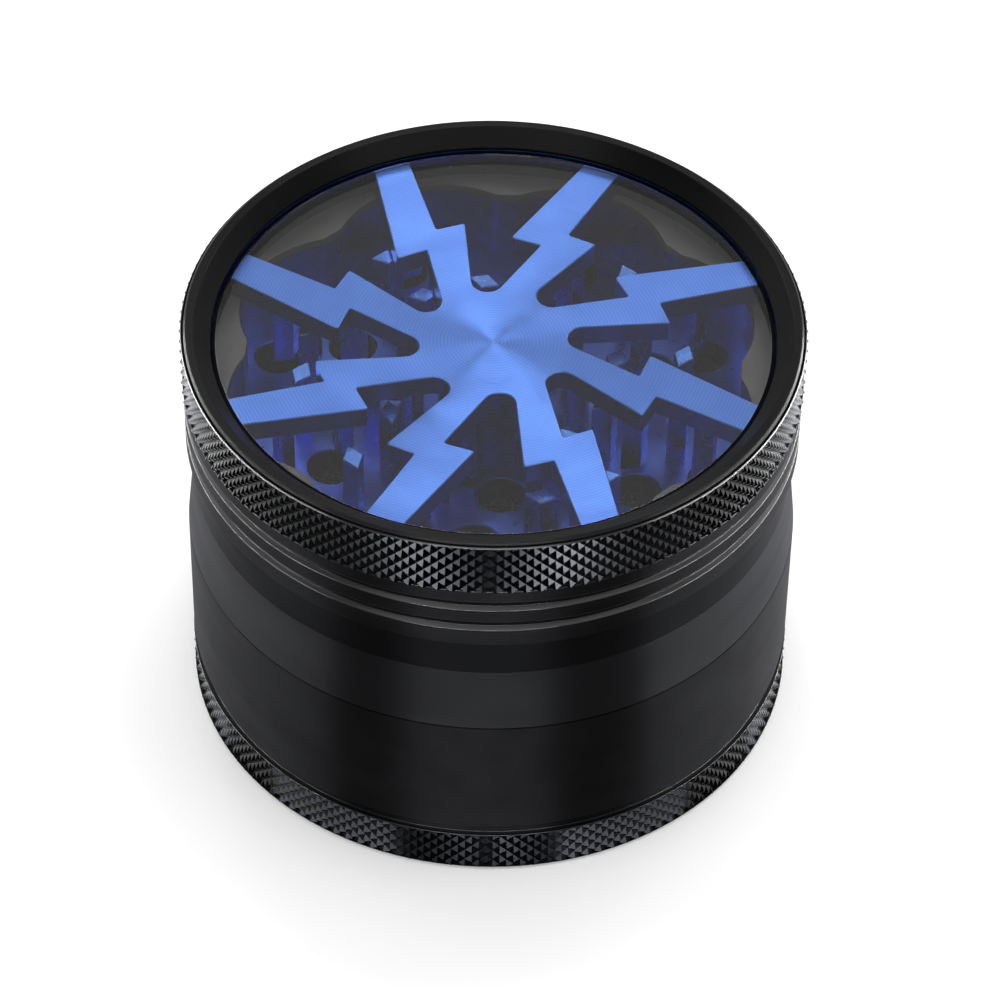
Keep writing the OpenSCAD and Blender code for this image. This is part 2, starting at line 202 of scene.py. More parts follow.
def disc(name: str, radius: float, low: float, high: float, rounding: Span = (0, 0)) -> Object:
    """Turns a small disc.

    Args:
        name: name of the new object.
        radius: its radius.
        low: height of the lower face.
        high: height of the upper face.
        rounding: roundings of its lower and upper edges.

    Returns:
        The disc.
    """
    return lathe(name, [(0, low, 0), (radius, low, rounding[0]), (radius, high, rounding[1]),
                        (0, high, 0)], segments=96)


def bar(name: str, sections: list[list[Corner]]) -> Object:
    """Makes a closed bar with flat ends.

    Args:
        name: name of the new object.
        sections: the bar's sections from end to end, each with as many points as the next.

    Returns:
        The bar.
    """
    n, last = len(sections[0]), len(sections) - 1
    faces = [(k * n + i, k * n + n + i, k * n + n + (i + 1) % n, k * n + (i + 1) % n)
             for k in range(last) for i in range(n)]
    faces += [tuple(range(n)), tuple(range(last * n, last * n + n))[::-1]]
    return tidy_mesh(raw_object(name, [p for section in sections for p in section], faces))


def prism(name: str, outline: list[Point], low: float, high: float,
          chamfer_low: float, chamfer_high: float) -> Object:
    """Extrudes a closed outline, with chamfers on its lower and upper edges.

    Args:
        name: name of the new object.
        outline: points in order round the shape.
        low: height of the lower face.
        high: height of the upper face.
        chamfer_low: width of the lower chamfer, or 0.
        chamfer_high: width of the upper chamfer, or 0.

    Returns:
        The extruded object.
    """
    n = len(outline)
    area = sum(outline[i - 1][0] * outline[i][1] - outline[i][0] * outline[i - 1][1]
               for i in range(n))
    ring = outline if area > 0 else outline[::-1]

    def inset(width: float) -> list[Point]:
        """Moves the outline inwards.

        Args:
            width: how far each side moves.

        Returns:
            The points of the smaller outline.
        """
        moved = []
        for i in range(n):
            p, q, r = (Vector(ring[(i + d) % n]) for d in (-1, 0, 1))
            u, v = (q - p).normalized(), (r - q).normalized()
            normal = Vector((-u.y - v.y, u.x + v.x))
            normal = normal.normalized() if normal.length > 1e-9 else Vector((-u.y, u.x))
            lean = max(LEAST_LEAN, normal.dot(Vector((-u.y, u.x))))
            moved.append(tuple(q + normal * width / lean))
        return moved

    levels = [(chamfer_low, low)] if chamfer_low else []
    levels += [(0.0, low + chamfer_low), (0.0, high - chamfer_high)]
    levels += [(chamfer_high, high)] if chamfer_high else []
    verts = [(x, y, z) for width, z in levels for x, y in (inset(width) if width else ring)]
    faces = [tuple(range(n))[::-1], tuple(range(len(verts) - n, len(verts)))]
    for a in range(0, len(verts) - n, n):
        faces += [(a + i, a + (i + 1) % n, a + n + (i + 1) % n, a + n + i) for i in range(n)]
    return tidy_mesh(raw_object(name, verts, faces))


def ring_plate(name: str, outer: list[Point], inner_r: float, low: float, high: float) -> Object:
    """Plate between a round edge and an outline that runs once round the axis.

    Args:
        name: name of the new object.
        outer: the outline.
        inner_r: radius of the round edge, inside the outline or outside it.
        low: height of the lower face.
        high: height of the upper face.

    Returns:
        The plate.
    """
    n = len(outer)
    inner = [polar(inner_r, bearing(point)) for point in outer]
    verts = [(x, y, z) for ring in (outer, inner) for z in (low, high) for x, y in ring]
    faces = []
    for i in range(n):
        j = (i + 1) % n
        faces += [(i, j, n + j, n + i), (2 * n + i, 3 * n + i, 3 * n + j, 2 * n + j),
                  (i, 2 * n + i, 2 * n + j, j), (n + i, n + j, 3 * n + j, 3 * n + i)]
    return tidy_mesh(raw_object(name, verts, faces))


def join(name: str, parts: list[Object]) -> Object:
    """Joins several objects, which stand at the origin, and removes them.

    Args:
        name: name of the new object.
        parts: objects with their materials.

    Returns:
        One object with every mesh and material of the parts.
    """
    bm = bmesh.new()
    materials: list[Material] = []
    for part in parts:
        start = len(bm.faces)
        bm.from_mesh(part.data)
        bm.faces.ensure_lookup_table()
        slots = list(part.data.materials)
        for material in slots:
            if material not in materials:
                materials.append(material)
        for face in bm.faces[start:]:
            face.material_index = materials.index(slots[face.material_index])
    joined = raw_object(name, [], [])
    bm.to_mesh(joined.data)
    bm.free()
    for material in materials:
        joined.data.materials.append(material)
    for part in parts:
        bpy.data.objects.remove(part)
    return joined


def baked(obj: Object) -> Object:
    """Applies an object's modifiers.

    Args:
        obj: object with modifiers.

    Returns:
        The same object with a plain mesh and no modifiers.
    """
    bpy.context.view_layer.update()
    graph = bpy.context.evaluated_depsgraph_get()
    mesh = bpy.data.meshes.new_from_object(obj.evaluated_get(graph), depsgraph=graph)
    mesh.name = obj.name
    obj.modifiers.clear()
    obj.data = mesh
    return obj


def carve(obj: Object, cutters: list[Object]) -> None:
    """Cuts solids out of an object and removes them.

    Args:
        obj: closed mesh object, which is changed in place.
        cutters: closed mesh objects that don't touch each other.
    """
    for cutter in cutters:
        cut = obj.modifiers.new("cut", "BOOLEAN")
        cut.operation, cut.solver, cut.object = "DIFFERENCE", "EXACT", cutter
        baked(obj)
        bpy.data.objects.remove(cutter)
    tidy_mesh(obj)


# ---------------------------------------------------------------- finishing a piece


def dress(obj: Object, *materials: Material) -> Object:
    """Gives an object new materials, with the first on every face.

    Args:
        obj: mesh object.
        materials: what it gets instead of its own materials.

    Returns:
        The same object.
    """
    mesh = obj.data
    mesh.materials.clear()
    for material in materials:
        mesh.materials.append(material)
    mesh.polygons.foreach_set("material_index", [0] * len(mesh.polygons))
    return obj


def paint(obj: Object, material: Material, test: Callable[[float, float, float], bool]) -> None:
    """Gives some faces that have an object's first material another of its materials.

    Args:
        obj: object with its materials.
        material: the other material.
        test: tells if a face is meant, from its normal's rise and its centre's radius and height.
    """
    index = list(obj.data.materials).index(material)
    for face in obj.data.polygons:
        x, y, z = (c / MM for c in face.center)
        if face.material_index == 0 and test(face.normal.z, math.hypot(x, y), z):
            face.material_index = index


def finish_lips(obj: Object, upper: Material, lower: Material) -> None:
    """Gives a turned piece's rounded lips, chamfers and groove flanks finishes of their own. The
    lips that face downwards get a darker finish, as painted shade under them.

    Args:
        obj: turned piece whose first material is its own.
        upper: finish of the lips that face upwards.
        lower: finish of the lips that face downwards, darker, which paints shade under them.
    """
    least, most = LIP_RISE
    for material, way in ((upper, 1), (lower, -1)):
        obj.data.materials.append(material)
        paint(obj, material, lambda rise, r, z: least < way * rise < most)


def finish_piece(obj: Object, body: str, slot: str, *nodes: str) -> None:
    """Hands a finished piece to the frame and reports it.

    Args:
        obj: finished object.
        body: CAD body that it rides on.
        slot: material slot of the record; not used.
        nodes: CAD nodes that it stands for.
    """
    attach(obj, body)
    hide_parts(*nodes)
    obj.data.calc_loop_triangles()
    LOG.info("%s on %s: %d triangles", obj.name, body, len(obj.data.loop_triangles))


# ---------------------------------------------------------------- nodes


class Nodes:
    """Short ways to add nodes to a node tree and to link them."""

    prefix = "ShaderNode"

    def __init__(self, tree: bpy.types.NodeTree) -> None:
        """Takes the node tree to work on."""
        self.tree = tree

    def node(self, kind: str, values: dict | None = None, **settings: object) -> bpy.types.Node:
        """Adds a node.

        Args:
            kind: identifier of the node, with or without the tree's usual prefix.
            values: a socket to link, or a plain value, for each input by name or number.
            settings: properties of the node.

        Returns:
            The new node.
        """
        made = self.tree.nodes.new(kind if "Node" in kind else self.prefix + kind)
        for key, value in settings.items():
            setattr(made, key, value)
        for key, value in (values or {}).items():
            if isinstance(value, bpy.types.NodeSocket):
                self.tree.links.new(value, made.inputs[key])
            else:
                made.inputs[key].default_value = value
        return made

    def math(self, operation: str, *values: Socket | float) -> Socket:
        """Output of a math node on up to three values."""
        return self.node("ShaderNodeMath", dict(enumerate(values)), operation=operation).outputs[0]

    def vector(self, operation: str, *values: Socket | Corner) -> Socket:
        """Output of a vector math node, which is a vector except for LENGTH."""
        made = self.node("ShaderNodeVectorMath", dict(enumerate(values)), operation=operation)
        return made.outputs["Value" if operation == "LENGTH" else "Vector"]

    def upward(self, z: Socket) -> Socket:
        """Vector along Z."""
        return self.node("ShaderNodeCombineXYZ", {2: z}).outputs[0]


class Tree(Nodes):
    """A geometry node tree that works on one object, with named inputs beside its geometry."""

    prefix = "GeometryNode"

    def __init__(self, name: str, **inputs: str) -> None:
        """Makes an empty tree.

        Args:
            name: name of the tree.
            inputs: socket type of each named input.
        """
        super().__init__(bpy.data.node_groups.new(name, "GeometryNodeTree"))
        face = self.tree.interface
        for label, kind in {"Geometry": "Geometry", **inputs}.items():
            face.new_socket(label, in_out="INPUT", socket_type="NodeSocket" + kind)
        face.new_socket("Geometry", in_out="OUTPUT", socket_type="NodeSocketGeometry")
        self.inputs = self.tree.nodes.new("NodeGroupInput").outputs

    def close(self, geometry: Socket, weld: float) -> None:
        """Ends the tree: realised, merged and given its material.

        Args:
            geometry: last geometry of the tree.
            weld: distance under which points are merged.
        """
        real = self.node("RealizeInstances", {0: geometry})
        merged = self.node("MergeByDistance", {"Geometry": real.outputs[0], "Distance": weld * MM})
        dressed = self.node("SetMaterial", {
            "Geometry": merged.outputs[0], "Material": self.inputs["Material"]})
        self.node("NodeGroupOutput", {0: dressed.outputs[0]})

    def apply(self, obj: Object, **values: object) -> Object:
        """Runs the tree on an object and keeps the result as its plain mesh.

        Args:
            obj: object that the tree works on.
            values: value of each named input.

        Returns:
            The same object.
        """
        modifier = obj.modifiers.new(self.tree.name, "NODES")
        modifier.node_group = self.tree
        for item in self.tree.interface.items_tree:
            if item.in_out == "INPUT" and item.name in values:
                modifier[item.identifier] = values[item.name]
        return baked(obj)


class RingTree(Tree):
    """Tree that repeats the object's mesh round the Z axis, in one or more staggered rows."""

    def __init__(self) -> None:
        """Builds the tree."""
        super().__init__("ring_of_copies", Count="Int", Rows="Int", Row_height="Float",
                         Start="Float", Material="Material")
        count, rows = self.inputs["Count"], self.inputs["Rows"]
        index = self.node("InputIndex").outputs[0]
        row = self.math("FLOOR", self.math("DIVIDE", self.math("ADD", index, 0.5), count))
        half = self.math("MULTIPLY", self.math("MODULO", row, 2.0), 0.5)
        in_row = self.math("SUBTRACT", index, self.math("MULTIPLY", row, count))
        share = self.math("DIVIDE", self.math("ADD", in_row, half), count)
        angle = self.math("ADD", self.math("MULTIPLY", share, 2 * math.pi), self.inputs["Start"])
        height = self.math("MULTIPLY", row, self.inputs["Row_height"])
        points = self.node("Points", {
            "Count": self.math("MULTIPLY", count, rows), "Position": self.upward(height)})
        rotation = self.node("FunctionNodeEulerToRotation", {0: self.upward(angle)})
        copies = self.node("InstanceOnPoints", {
            "Points": points.outputs[0], "Instance": self.inputs["Geometry"],
            "Rotation": rotation.outputs[0]})
        self.close(copies.outputs[0], 0.002)

    def spread(self, obj: Object, finish: Material, count: int, start: float = 0.0,
               rows: int = 1, row_height: float = 0.0) -> Object:
        """Repeats an object round the Z axis.

        Args:
            obj: first copy.
            finish: material of every copy.
            count: copies in a row.
            start: angle that the first copy is turned by, in degrees.
            rows: number of rows, each half a step on from the last.
            row_height: rise from row to row.

        Returns:
            The same object with every copy in its mesh.
        """
        return self.apply(obj, Count=count, Rows=rows, Row_height=row_height * MM,
                          Start=math.radians(start), Material=finish)


class WeaveTree(Tree):
    """Tree that weaves a round screen of wires round the origin."""

    def __init__(self) -> None:
        """Builds the tree. Its lengths are in metres."""
        super().__init__("woven_screen", Radius="Float", Pitch="Float", Wire_radius="Float",
                         Material="Material")
        radius, pitch = self.inputs["Radius"], self.inputs["Pitch"]
        half = self.math("FLOOR", self.math("DIVIDE", radius, pitch))
        wires = self.math("ADD", self.math("MULTIPLY", half, 2.0), 1.0)
        width = self.math("MULTIPLY", self.math("MULTIPLY", half, 2.0), pitch)
        along = self.math("ADD", self.math("MULTIPLY", half, 4.0), 1.0)
        grid = self.node("MeshGrid", {
            "Size X": width, "Size Y": width, "Vertices X": along, "Vertices Y": wires})
        ends = self.node("InputMeshEdgeVertices").outputs
        gap = self.node("ShaderNodeSeparateXYZ", {0: self.vector("SUBTRACT", ends[2], ends[3])})
        across = self.math("GREATER_THAN", self.math("ABSOLUTE", gap.outputs[1]), 0.001 * MM)
        strands = self.node("DeleteGeometry", {
            "Geometry": grid.outputs[0], "Selection": across}, domain="EDGE")
        place = self.node("InputPosition").outputs[0]
        axes = self.node("ShaderNodeSeparateXYZ", {0: place}).outputs
        waves = [self.math("COSINE", self.math("MULTIPLY", self.math("DIVIDE", a, pitch), math.pi))
                 for a in axes[:2]]
        lift = self.math("MULTIPLY", self.math("MULTIPLY", *waves), self.inputs["Wire_radius"])
        crimped = self.node("SetPosition", {
            "Geometry": strands.outputs[0], "Offset": self.upward(lift)})
        past = self.math("GREATER_THAN", self.vector("LENGTH", place), radius)
        trimmed = self.node("DeleteGeometry", {
            "Geometry": crimped.outputs[0], "Selection": past}, domain="POINT")
        lines = self.node("MeshToCurve", {"Mesh": trimmed.outputs[0]})
        section = self.node("CurvePrimitiveCircle", {
            "Resolution": 4, "Radius": self.inputs["Wire_radius"]})
        warp = self.node("CurveToMesh", {
            "Curve": lines.outputs[0], "Profile Curve": section.outputs[0], "Fill Caps": True})
        weft = self.node("Transform", {
            "Geometry": warp.outputs[0], "Rotation": (math.pi, 0.0, math.pi / 2)})
        both = self.node("JoinGeometry")
        for strand in (warp, weft):
            self.tree.links.new(strand.outputs[0], both.inputs[0])
        self.close(both.outputs[0], 0.0001)


class Shader(Nodes):
    """A material or world under construction."""

    def __init__(self, name: str, world: bool = False) -> None:
        """Makes a material or world with an output and its usual coordinates.

        Args:
            name: name of the material or world.
            world: True for a world.
        """
        self.owner = (bpy.data.worlds if world else bpy.data.materials).new(name)
        self.owner.use_nodes = True
        super().__init__(self.owner.node_tree)
        self.tree.nodes.clear()
        self.output = self.node("OutputWorld" if world else "OutputMaterial")
        self.place = self.node("TexCoord").outputs["Generated" if world else "Object"]

    def noise(self, scale: float, where: Socket | None = None, detail: float = 2.0,
              rough: float = 0.5) -> Socket:
        """Noise value over the object.

        Args:
            scale: features to the metre, or to the unit of the given coordinates.
            where: coordinates, or None for the object's own.
            detail: octaves of the noise.
            rough: share that each octave keeps of the last.

        Returns:
            The noise node's value.
        """
        return self.node("TexNoise", {
            "Vector": where or self.place, "Scale": scale, "Detail": detail,
            "Roughness": rough}).outputs["Fac"]

    def span(self, value: Socket, low: float, high: float) -> Socket:
        """A noise's usual range spread from low to high."""
        return self.node("MapRange", {
            0: value, 1: NOISE_LOW, 2: NOISE_HIGH, 3: low, 4: high}).outputs[0]

    def fade(self, value: Socket, first: float, last: float, low: Socket | float,
             high: Socket | float) -> Socket:
        """Smooth change from low to high as the value goes from first to last."""
        return self.node("MapRange", {0: value, 1: first, 2: last, 3: low, 4: high},
                         interpolation_type="SMOOTHSTEP").outputs[0]

    def tint(self, value: Socket, low: tuple, high: tuple) -> Socket:
        """RGB colour that goes from low to high over a noise's usual range."""
        return self.node("Mix", {0: self.span(value, 0.0, 1.0), 6: (*low, 1.0), 7: (*high, 1.0)},
                         data_type="RGBA").outputs[2]

    def flat(self) -> Socket:
        """The coordinates without their height."""
        return self.vector("MULTIPLY", self.place, (1.0, 1.0, 0.0))

    def out_and_up(self) -> Socket:
        """Distance from the Z axis plus height, in metres."""
        height = self.node("SeparateXYZ", {0: self.place}).outputs[2]
        return self.math("ADD", self.vector("LENGTH", self.flat()), height)

    def turned(self, pitch: float, stretch: float) -> Socket:
        """Coordinates in which noise is drawn out round the axis, as a turning tool leaves it.

        Args:
            pitch: distance between marks.
            stretch: marks' changes in one turn.

        Returns:
            The coordinates.
        """
        line = self.math("DIVIDE", self.out_and_up(), pitch * MM)
        way = self.vector("NORMALIZE", self.flat())
        around = self.node("VectorMath", {0: way, "Scale": stretch}, operation="SCALE")
        return self.vector("ADD", around.outputs[0], self.upward(line))

    def rings(self, pitch: float) -> Socket:
        """Wave from 0 to 1 that runs out from the Z axis and up it, once in each pitch."""
        line = self.math("MULTIPLY", self.out_and_up(), 2 * math.pi / (pitch * MM))
        return self.math("MULTIPLY_ADD", self.math("SINE", line), 0.5, 0.5)

    def across_marks(self) -> Socket:
        """Finds the way across marks that run round the Z axis.

        Returns:
            A direction in the surface, in world space.
        """
        around = self.vector("CROSS_PRODUCT", (0.0, 0.0, 1.0), self.place)
        turned = self.node("VectorTransform", {0: around}, vector_type="VECTOR",
                           convert_from="OBJECT", convert_to="WORLD").outputs[0]
        normal = self.node("NewGeometry").outputs["Normal"]
        return self.vector("NORMALIZE", self.vector("CROSS_PRODUCT", turned, normal))

    def bump(self, height: Socket, depth: float, under: Socket | None = None) -> Socket:
        """Normal of a relief.

        Args:
            height: relief from 0 to 1.
            depth: its depth.
            under: normal of a relief that lies under it.

        Returns:
            The normal socket.
        """
        values = {"Height": height, "Distance": depth * MM, "Strength": 1.0}
        return self.node("Bump", values | ({"Normal": under} if under else {})).outputs[0]

    def end(self, shader: bpy.types.Node) -> Material | bpy.types.World:
        """Ends the material or world with its surface shader and returns it."""
        self.tree.links.new(shader.outputs[0], self.output.inputs["Surface"])
        return self.owner

    def principled(self, values: dict) -> Material:
        """Ends the material with a Principled shader that has these inputs."""
        return self.end(self.node("BsdfPrincipled", values))


# ---------------------------------------------------------------- finishes


class Dye(Enum):
    """Colours of the anodised coats, as linear RGB. Some are lighter or darker copies of a coat,
    which paint sheen or shade.
    """

    BLACK = (0.0024, 0.0025, 0.0029)
    # Lighter copy of JET for the chamber's cone, a painted sheen.
    CONE_SHEEN = (0.0086, 0.0088, 0.0095)
    JET = (0.0062, 0.0063, 0.0068)
    # Darker copy of JET for the waist under the lid's skirt, a painted shade.
    SMOKE = (0.0032, 0.0033, 0.0037)
    # Darkest coat: the knurled bands' own, and painted shade on lips that face downwards and in
    # groove bottoms.
    KNURL_AND_SHADE = (0.0018, 0.0019, 0.0022)
    BLUE = (0.15, 0.335, 0.93)
    # Darker copy of BLUE, a painted shade on the star's walls and in the chamber's bowl.
    NAVY_SHADE = (0.055, 0.105, 0.42)


def scaled(colour: tuple[float, ...], share: float) -> tuple[float, ...]:
    """Colour made darker or lighter."""
    return tuple(share * c for c in colour)


@dataclass(frozen=True)
class TurnedAnodise:
    """Anodised aluminium that came off a lathe: fine marks round the axis."""

    name: str
    dye: Dye
    metallic: float
    roughness: float
    anisotropy: float
    ior: float = 1.6
    edge: tuple[float, ...] = (1.0, 1.0, 1.0, 1.0)
    mark_pitch: float = 0.26
    mark_depth: float = 0.0012
    contrast: float = 0.12

    def build(self) -> Material:
        """Builds the material.

        Returns:
            The material.
        """
        s = Shader(self.name)
        marks = s.noise(1.0, s.turned(self.mark_pitch, 3.0), rough=0.6)
        sweep = s.noise(1.0, s.turned(self.mark_pitch * 9, 1.5), detail=3.0)
        mottle = s.noise(260.0, detail=3.0)
        total = s.math("ADD", s.math("ADD", s.rings(self.mark_pitch), sweep), mottle)
        grain = s.bump(s.noise(9000.0, detail=1.0), 0.0002)
        return s.principled({
            "Base Color": s.tint(s.math("MULTIPLY", total, 1 / 3),
                                 scaled(self.dye.value, 1 - self.contrast),
                                 scaled(self.dye.value, 1 + self.contrast)),
            "Metallic": self.metallic, "IOR": self.ior, "Specular Tint": self.edge,
            "Roughness": s.span(sweep, self.roughness * 0.92, self.roughness * 1.10),
            "Anisotropic": self.anisotropy, "Tangent": s.across_marks(),
            "Normal": s.bump(marks, self.mark_depth, grain)})


@dataclass(frozen=True)
class MilledAnodise:
    """Anodised aluminium that came off a mill: faint crossed cutter sweeps."""

    name: str
    dye: Dye
    roughness: float

    def build(self) -> Material:
        """Builds the material.

        Returns:
            The material.
        """
        s = Shader(self.name)
        lines = s.node("TexWave", {
            "Vector": s.place, "Scale": 900.0, "Distortion": 1.5, "Detail": 2.0,
            "Detail Scale": 0.6}, bands_direction="Z").outputs["Fac"]
        mottle = s.noise(700.0, detail=3.0)
        grain = s.bump(s.noise(7000.0, detail=1.0), 0.0003)
        return s.principled({
            "Base Color": s.tint(
                mottle, scaled(self.dye.value, 0.88), scaled(self.dye.value, 1.08)),
            "Roughness": s.span(mottle, self.roughness * 0.9, self.roughness * 1.12),
            "Metallic": 1.0, "Normal": s.bump(lines, 0.0008, grain)})


@dataclass(frozen=True)
class ClearAcrylic:
    """Clear cast acrylic with a trace of haze and fine wiping marks."""

    name: str = "clear_acrylic"

    def build(self) -> Material:
        """Builds the material.

        Returns:
            The material.
        """
        s = Shader(self.name)
        haze = s.noise(90.0, detail=4.0)
        wipes = s.noise(1.0, s.vector("MULTIPLY", s.place, (2600.0, 300.0, 600.0)), detail=1.0)
        return s.principled({
            "Base Color": s.tint(haze, (0.985, 0.99, 0.995), (0.995, 0.997, 1.0)),
            "Roughness": s.span(haze, 0.0, 0.012), "IOR": 1.49, "Transmission Weight": 1.0,
            "Normal": s.bump(wipes, 0.00002)})


@dataclass(frozen=True)
class ShadedNylon:
    """Natural moulded nylon, waxy and faintly see-through; its colour is painted dark, as the shade
    that it lies in under the lid.
    """

    name: str = "nylon"

    def build(self) -> Material:
        """Builds the material.

        Returns:
            The material.
        """
        s = Shader(self.name)
        cloud = s.noise(180.0, detail=4.0)
        return s.principled({
            # Painted shade: far darker than the nylon's own colour.
            "Base Color": s.tint(cloud, (0.050, 0.049, 0.045), (0.068, 0.066, 0.060)),
            "Roughness": s.span(cloud, 0.42, 0.52), "IOR": 1.53, "Subsurface Weight": 0.25,
            "Subsurface Radius": (0.0012, 0.001, 0.0008), "Subsurface Scale": 1.0,
            "Normal": s.bump(s.noise(2600.0, detail=3.0), 0.003)})


@dataclass(frozen=True)
class BrightMetal:
    """Bare or plated metal with fine drawing lines."""

    name: str
    colour: tuple[float, float, float]
    roughness: float

    def build(self) -> Material:
        """Builds the material.

        Returns:
            The material.
        """
        s = Shader(self.name)
        mottle = s.noise(500.0, detail=3.0)
        lines = s.noise(1.0, s.turned(0.12, 4.0), detail=1.0)
        return s.principled({
            "Base Color": s.tint(mottle, scaled(self.colour, 0.9), self.colour), "Metallic": 1.0,
            "Roughness": s.span(mottle, self.roughness * 0.85, self.roughness * 1.2),
            "Normal": s.bump(lines, 0.0006)})


class Finishes:
    """Every finish of the grinder, built once."""

    def __init__(self) -> None:
        """Builds the materials."""
        wall = {"metallic": 1.0, "anisotropy": 1.0, "edge": (0.78, 0.78, 0.8, 1.0),
                "mark_pitch": 0.34}
        self.black = TurnedAnodise(
            "black_turned", Dye.JET, roughness=0.56, contrast=0.45, **wall).build()
        # The cone's coat is a lighter copy of the wall's coat: painted sheen.
        self.black_cone_painted_sheen = TurnedAnodise(
            "black_cone_turned_painted_sheen", Dye.CONE_SHEEN, roughness=0.5, **wall).build()
        # The waist's coat is a darker copy of the wall's coat: painted shade under the lid's skirt.
        self.black_waist_painted_shade = TurnedAnodise(
            "black_waist_turned_painted_shade", Dye.SMOKE, roughness=0.5, **wall).build()
        # The bezel's own black, also used as painted shade on the window's bevel.
        self.black_fine_and_shade = TurnedAnodise(
            "black_fine_turned_and_painted_shade", Dye.BLACK, metallic=0.0, roughness=0.32, anisotropy=0.9,
            ior=1.24).build()
        # Knurled bands' own finish, and painted shade on downward lips and groove bottoms.
        self.black_knurl_and_shade = TurnedAnodise(
            "black_knurled_and_painted_shade", Dye.KNURL_AND_SHADE, metallic=1.0, roughness=0.15, anisotropy=0.0).build()
        self.black_lip = TurnedAnodise(
            "black_lip_turned", Dye.BLACK, metallic=0.0, roughness=0.3, anisotropy=0.85,
            ior=1.5).build()
        self.blue = TurnedAnodise(
            "blue_turned", Dye.BLUE, metallic=1.0, roughness=0.5, anisotropy=1.0,
            mark_pitch=0.36, mark_depth=0.002).build()
        self.blue_milled = MilledAnodise("blue_milled", Dye.BLUE, roughness=0.26).build()
        # Darker copy of blue_milled: painted shade on walls and inside the bowl.
        self.navy_milled_painted_shade = MilledAnodise("navy_milled_painted_shade", Dye.NAVY_SHADE, roughness=0.3).build()
        self.acrylic = ClearAcrylic().build()
        self.nylon = ShadedNylon().build()
        self.screen = BrightMetal("steel_wire", (0.56, 0.55, 0.53), roughness=0.3).build()
        self.spring = BrightMetal("spring_steel", (0.42, 0.43, 0.45), roughness=0.24).build()
        self.nickel = BrightMetal("nickel_plate", (0.66, 0.63, 0.58), roughness=0.14).build()


# ---------------------------------------------------------------- shapes that pieces share


@dataclass(frozen=True)
class Stack:
    """Heights, radii and fits that the pieces share."""

    # Heights from the base: joints, floors and faces.
    z_sieve: float = 6.5
    z_screen: float = 8.4
    z_chamber: float = 21.35
    z_shoulder: float = 33.0
    z_floor: float = 33.3
    z_skirt: float = 33.35
    z_post: float = 39.3
    z_neck: float = 40.6
    z_star: float = 41.5
    z_window: float = 43.9
    z_bezel: float = 45.4
    z_top: float = 47.4
    # Radii of the walls, and of the threads' sockets and spigots.
    knurl_r: float = 31.5
    knurl_seat_r: float = 31.11
    body_r: float = 31.4
    skirt_r: float = 31.3
    waist_r: float = 30.65
    neck_r: float = 29.2
    socket_r: float = 28.9
    root_r: float = 28.1
    # Threads: depth of a socket, length of a spigot, and where their ridges begin.
    socket_depth: float = 4.1
    spigot_len: float = 3.8
    thread_lead: float = 0.775
    thread_shift: float = 0.75
    socket_gap: float = 0.3
    # Magnets, and how often the star and the scallops repeat.
    magnet_r: float = 4.0
    magnet_t: float = 2.0
    magnet_gap: float = 0.05
    folds: int = 8


STACK = Stack()
POCKET_R = STACK.magnet_r + STACK.magnet_gap


@dataclass(frozen=True)
class Knurl:
    """A band of diamond knurling, cut with crossed lines at 45 degrees."""

    low: float
    high: float
    depth: float = 0.38
    back: float = 0.3
    count: int = 138
    crest: float = 0.10

    def build(self, rings: RingTree, finish: Material) -> Object:
        """Builds the band as a closed ring.

        Args:
            rings: tree that repeats a mesh round the axis.
            finish: material of the band.

        Returns:
            The band.
        """
        wide = math.pi / self.count
        tall = wide * STACK.knurl_r
        corners = ((-wide, 0.0), (0.0, -tall), (wide, 0.0), (0.0, tall))
        verts = []
        for radius, share in ((STACK.knurl_r - self.depth, 1.0), (STACK.knurl_r, self.crest)):
            for a, z in corners:
                verts += spun([(radius, z * share)], a * share, self.low)
        faces = [(i, (i + 1) % 4, 4 + (i + 1) % 4, 4 + i) for i in range(4)] + [(4, 5, 6, 7)]
        rows = math.ceil((self.high - self.low) / tall) + 1
        band = rings.spread(raw_object("knurl", verts, faces), finish, self.count, rows=rows,
                            row_height=tall)
        self.close(band)
        return dress(band, finish)

    def close(self, band: Object) -> None:
        """Trims the band to its height and gives it a back, which makes it a closed ring.

        Args:
            band: the cut diamonds, which are changed in place.
        """
        bm = bmesh.new()
        bm.from_mesh(band.data)
        for z, way in ((self.low, -1), (self.high, 1)):
            bmesh.ops.bisect_plane(bm, geom=bm.verts[:] + bm.edges[:] + bm.faces[:], dist=1e-7,
                                   plane_co=(0, 0, z * MM), plane_no=(0, 0, way), clear_outer=True)
        back = (STACK.knurl_r - self.depth - self.back) * MM
        grown_edges = []
        for z in (self.low * MM, self.high * MM):
            edges = [e for e in bm.edges
                     if e.is_boundary and all(abs(v.co.z - z) < 1e-6 for v in e.verts)]
            grown = bmesh.ops.extrude_edge_only(bm, edges=edges)["geom"]
            for v in (g for g in grown if isinstance(g, bmesh.types.BMVert)):
                v.co.xy = v.co.xy.normalized() * back
            grown_edges += [g for g in grown if isinstance(g, bmesh.types.BMEdge)]
        bmesh.ops.bridge_loops(bm, edges=[e for e in grown_edges if e.is_boundary])
        # The extrusion lists its faces in another order at each run, so they are sorted.
        bm.verts.index_update()
        verts = [v.co.copy() for v in bm.verts]
        faces = sorted([v.index for v in face.verts] for face in bm.faces)
        bm.free()
        band.data.clear_geometry()
        band.data.from_pydata(verts, [], faces)
        tidy_mesh(band, crease=20.0, weld=0.0002)


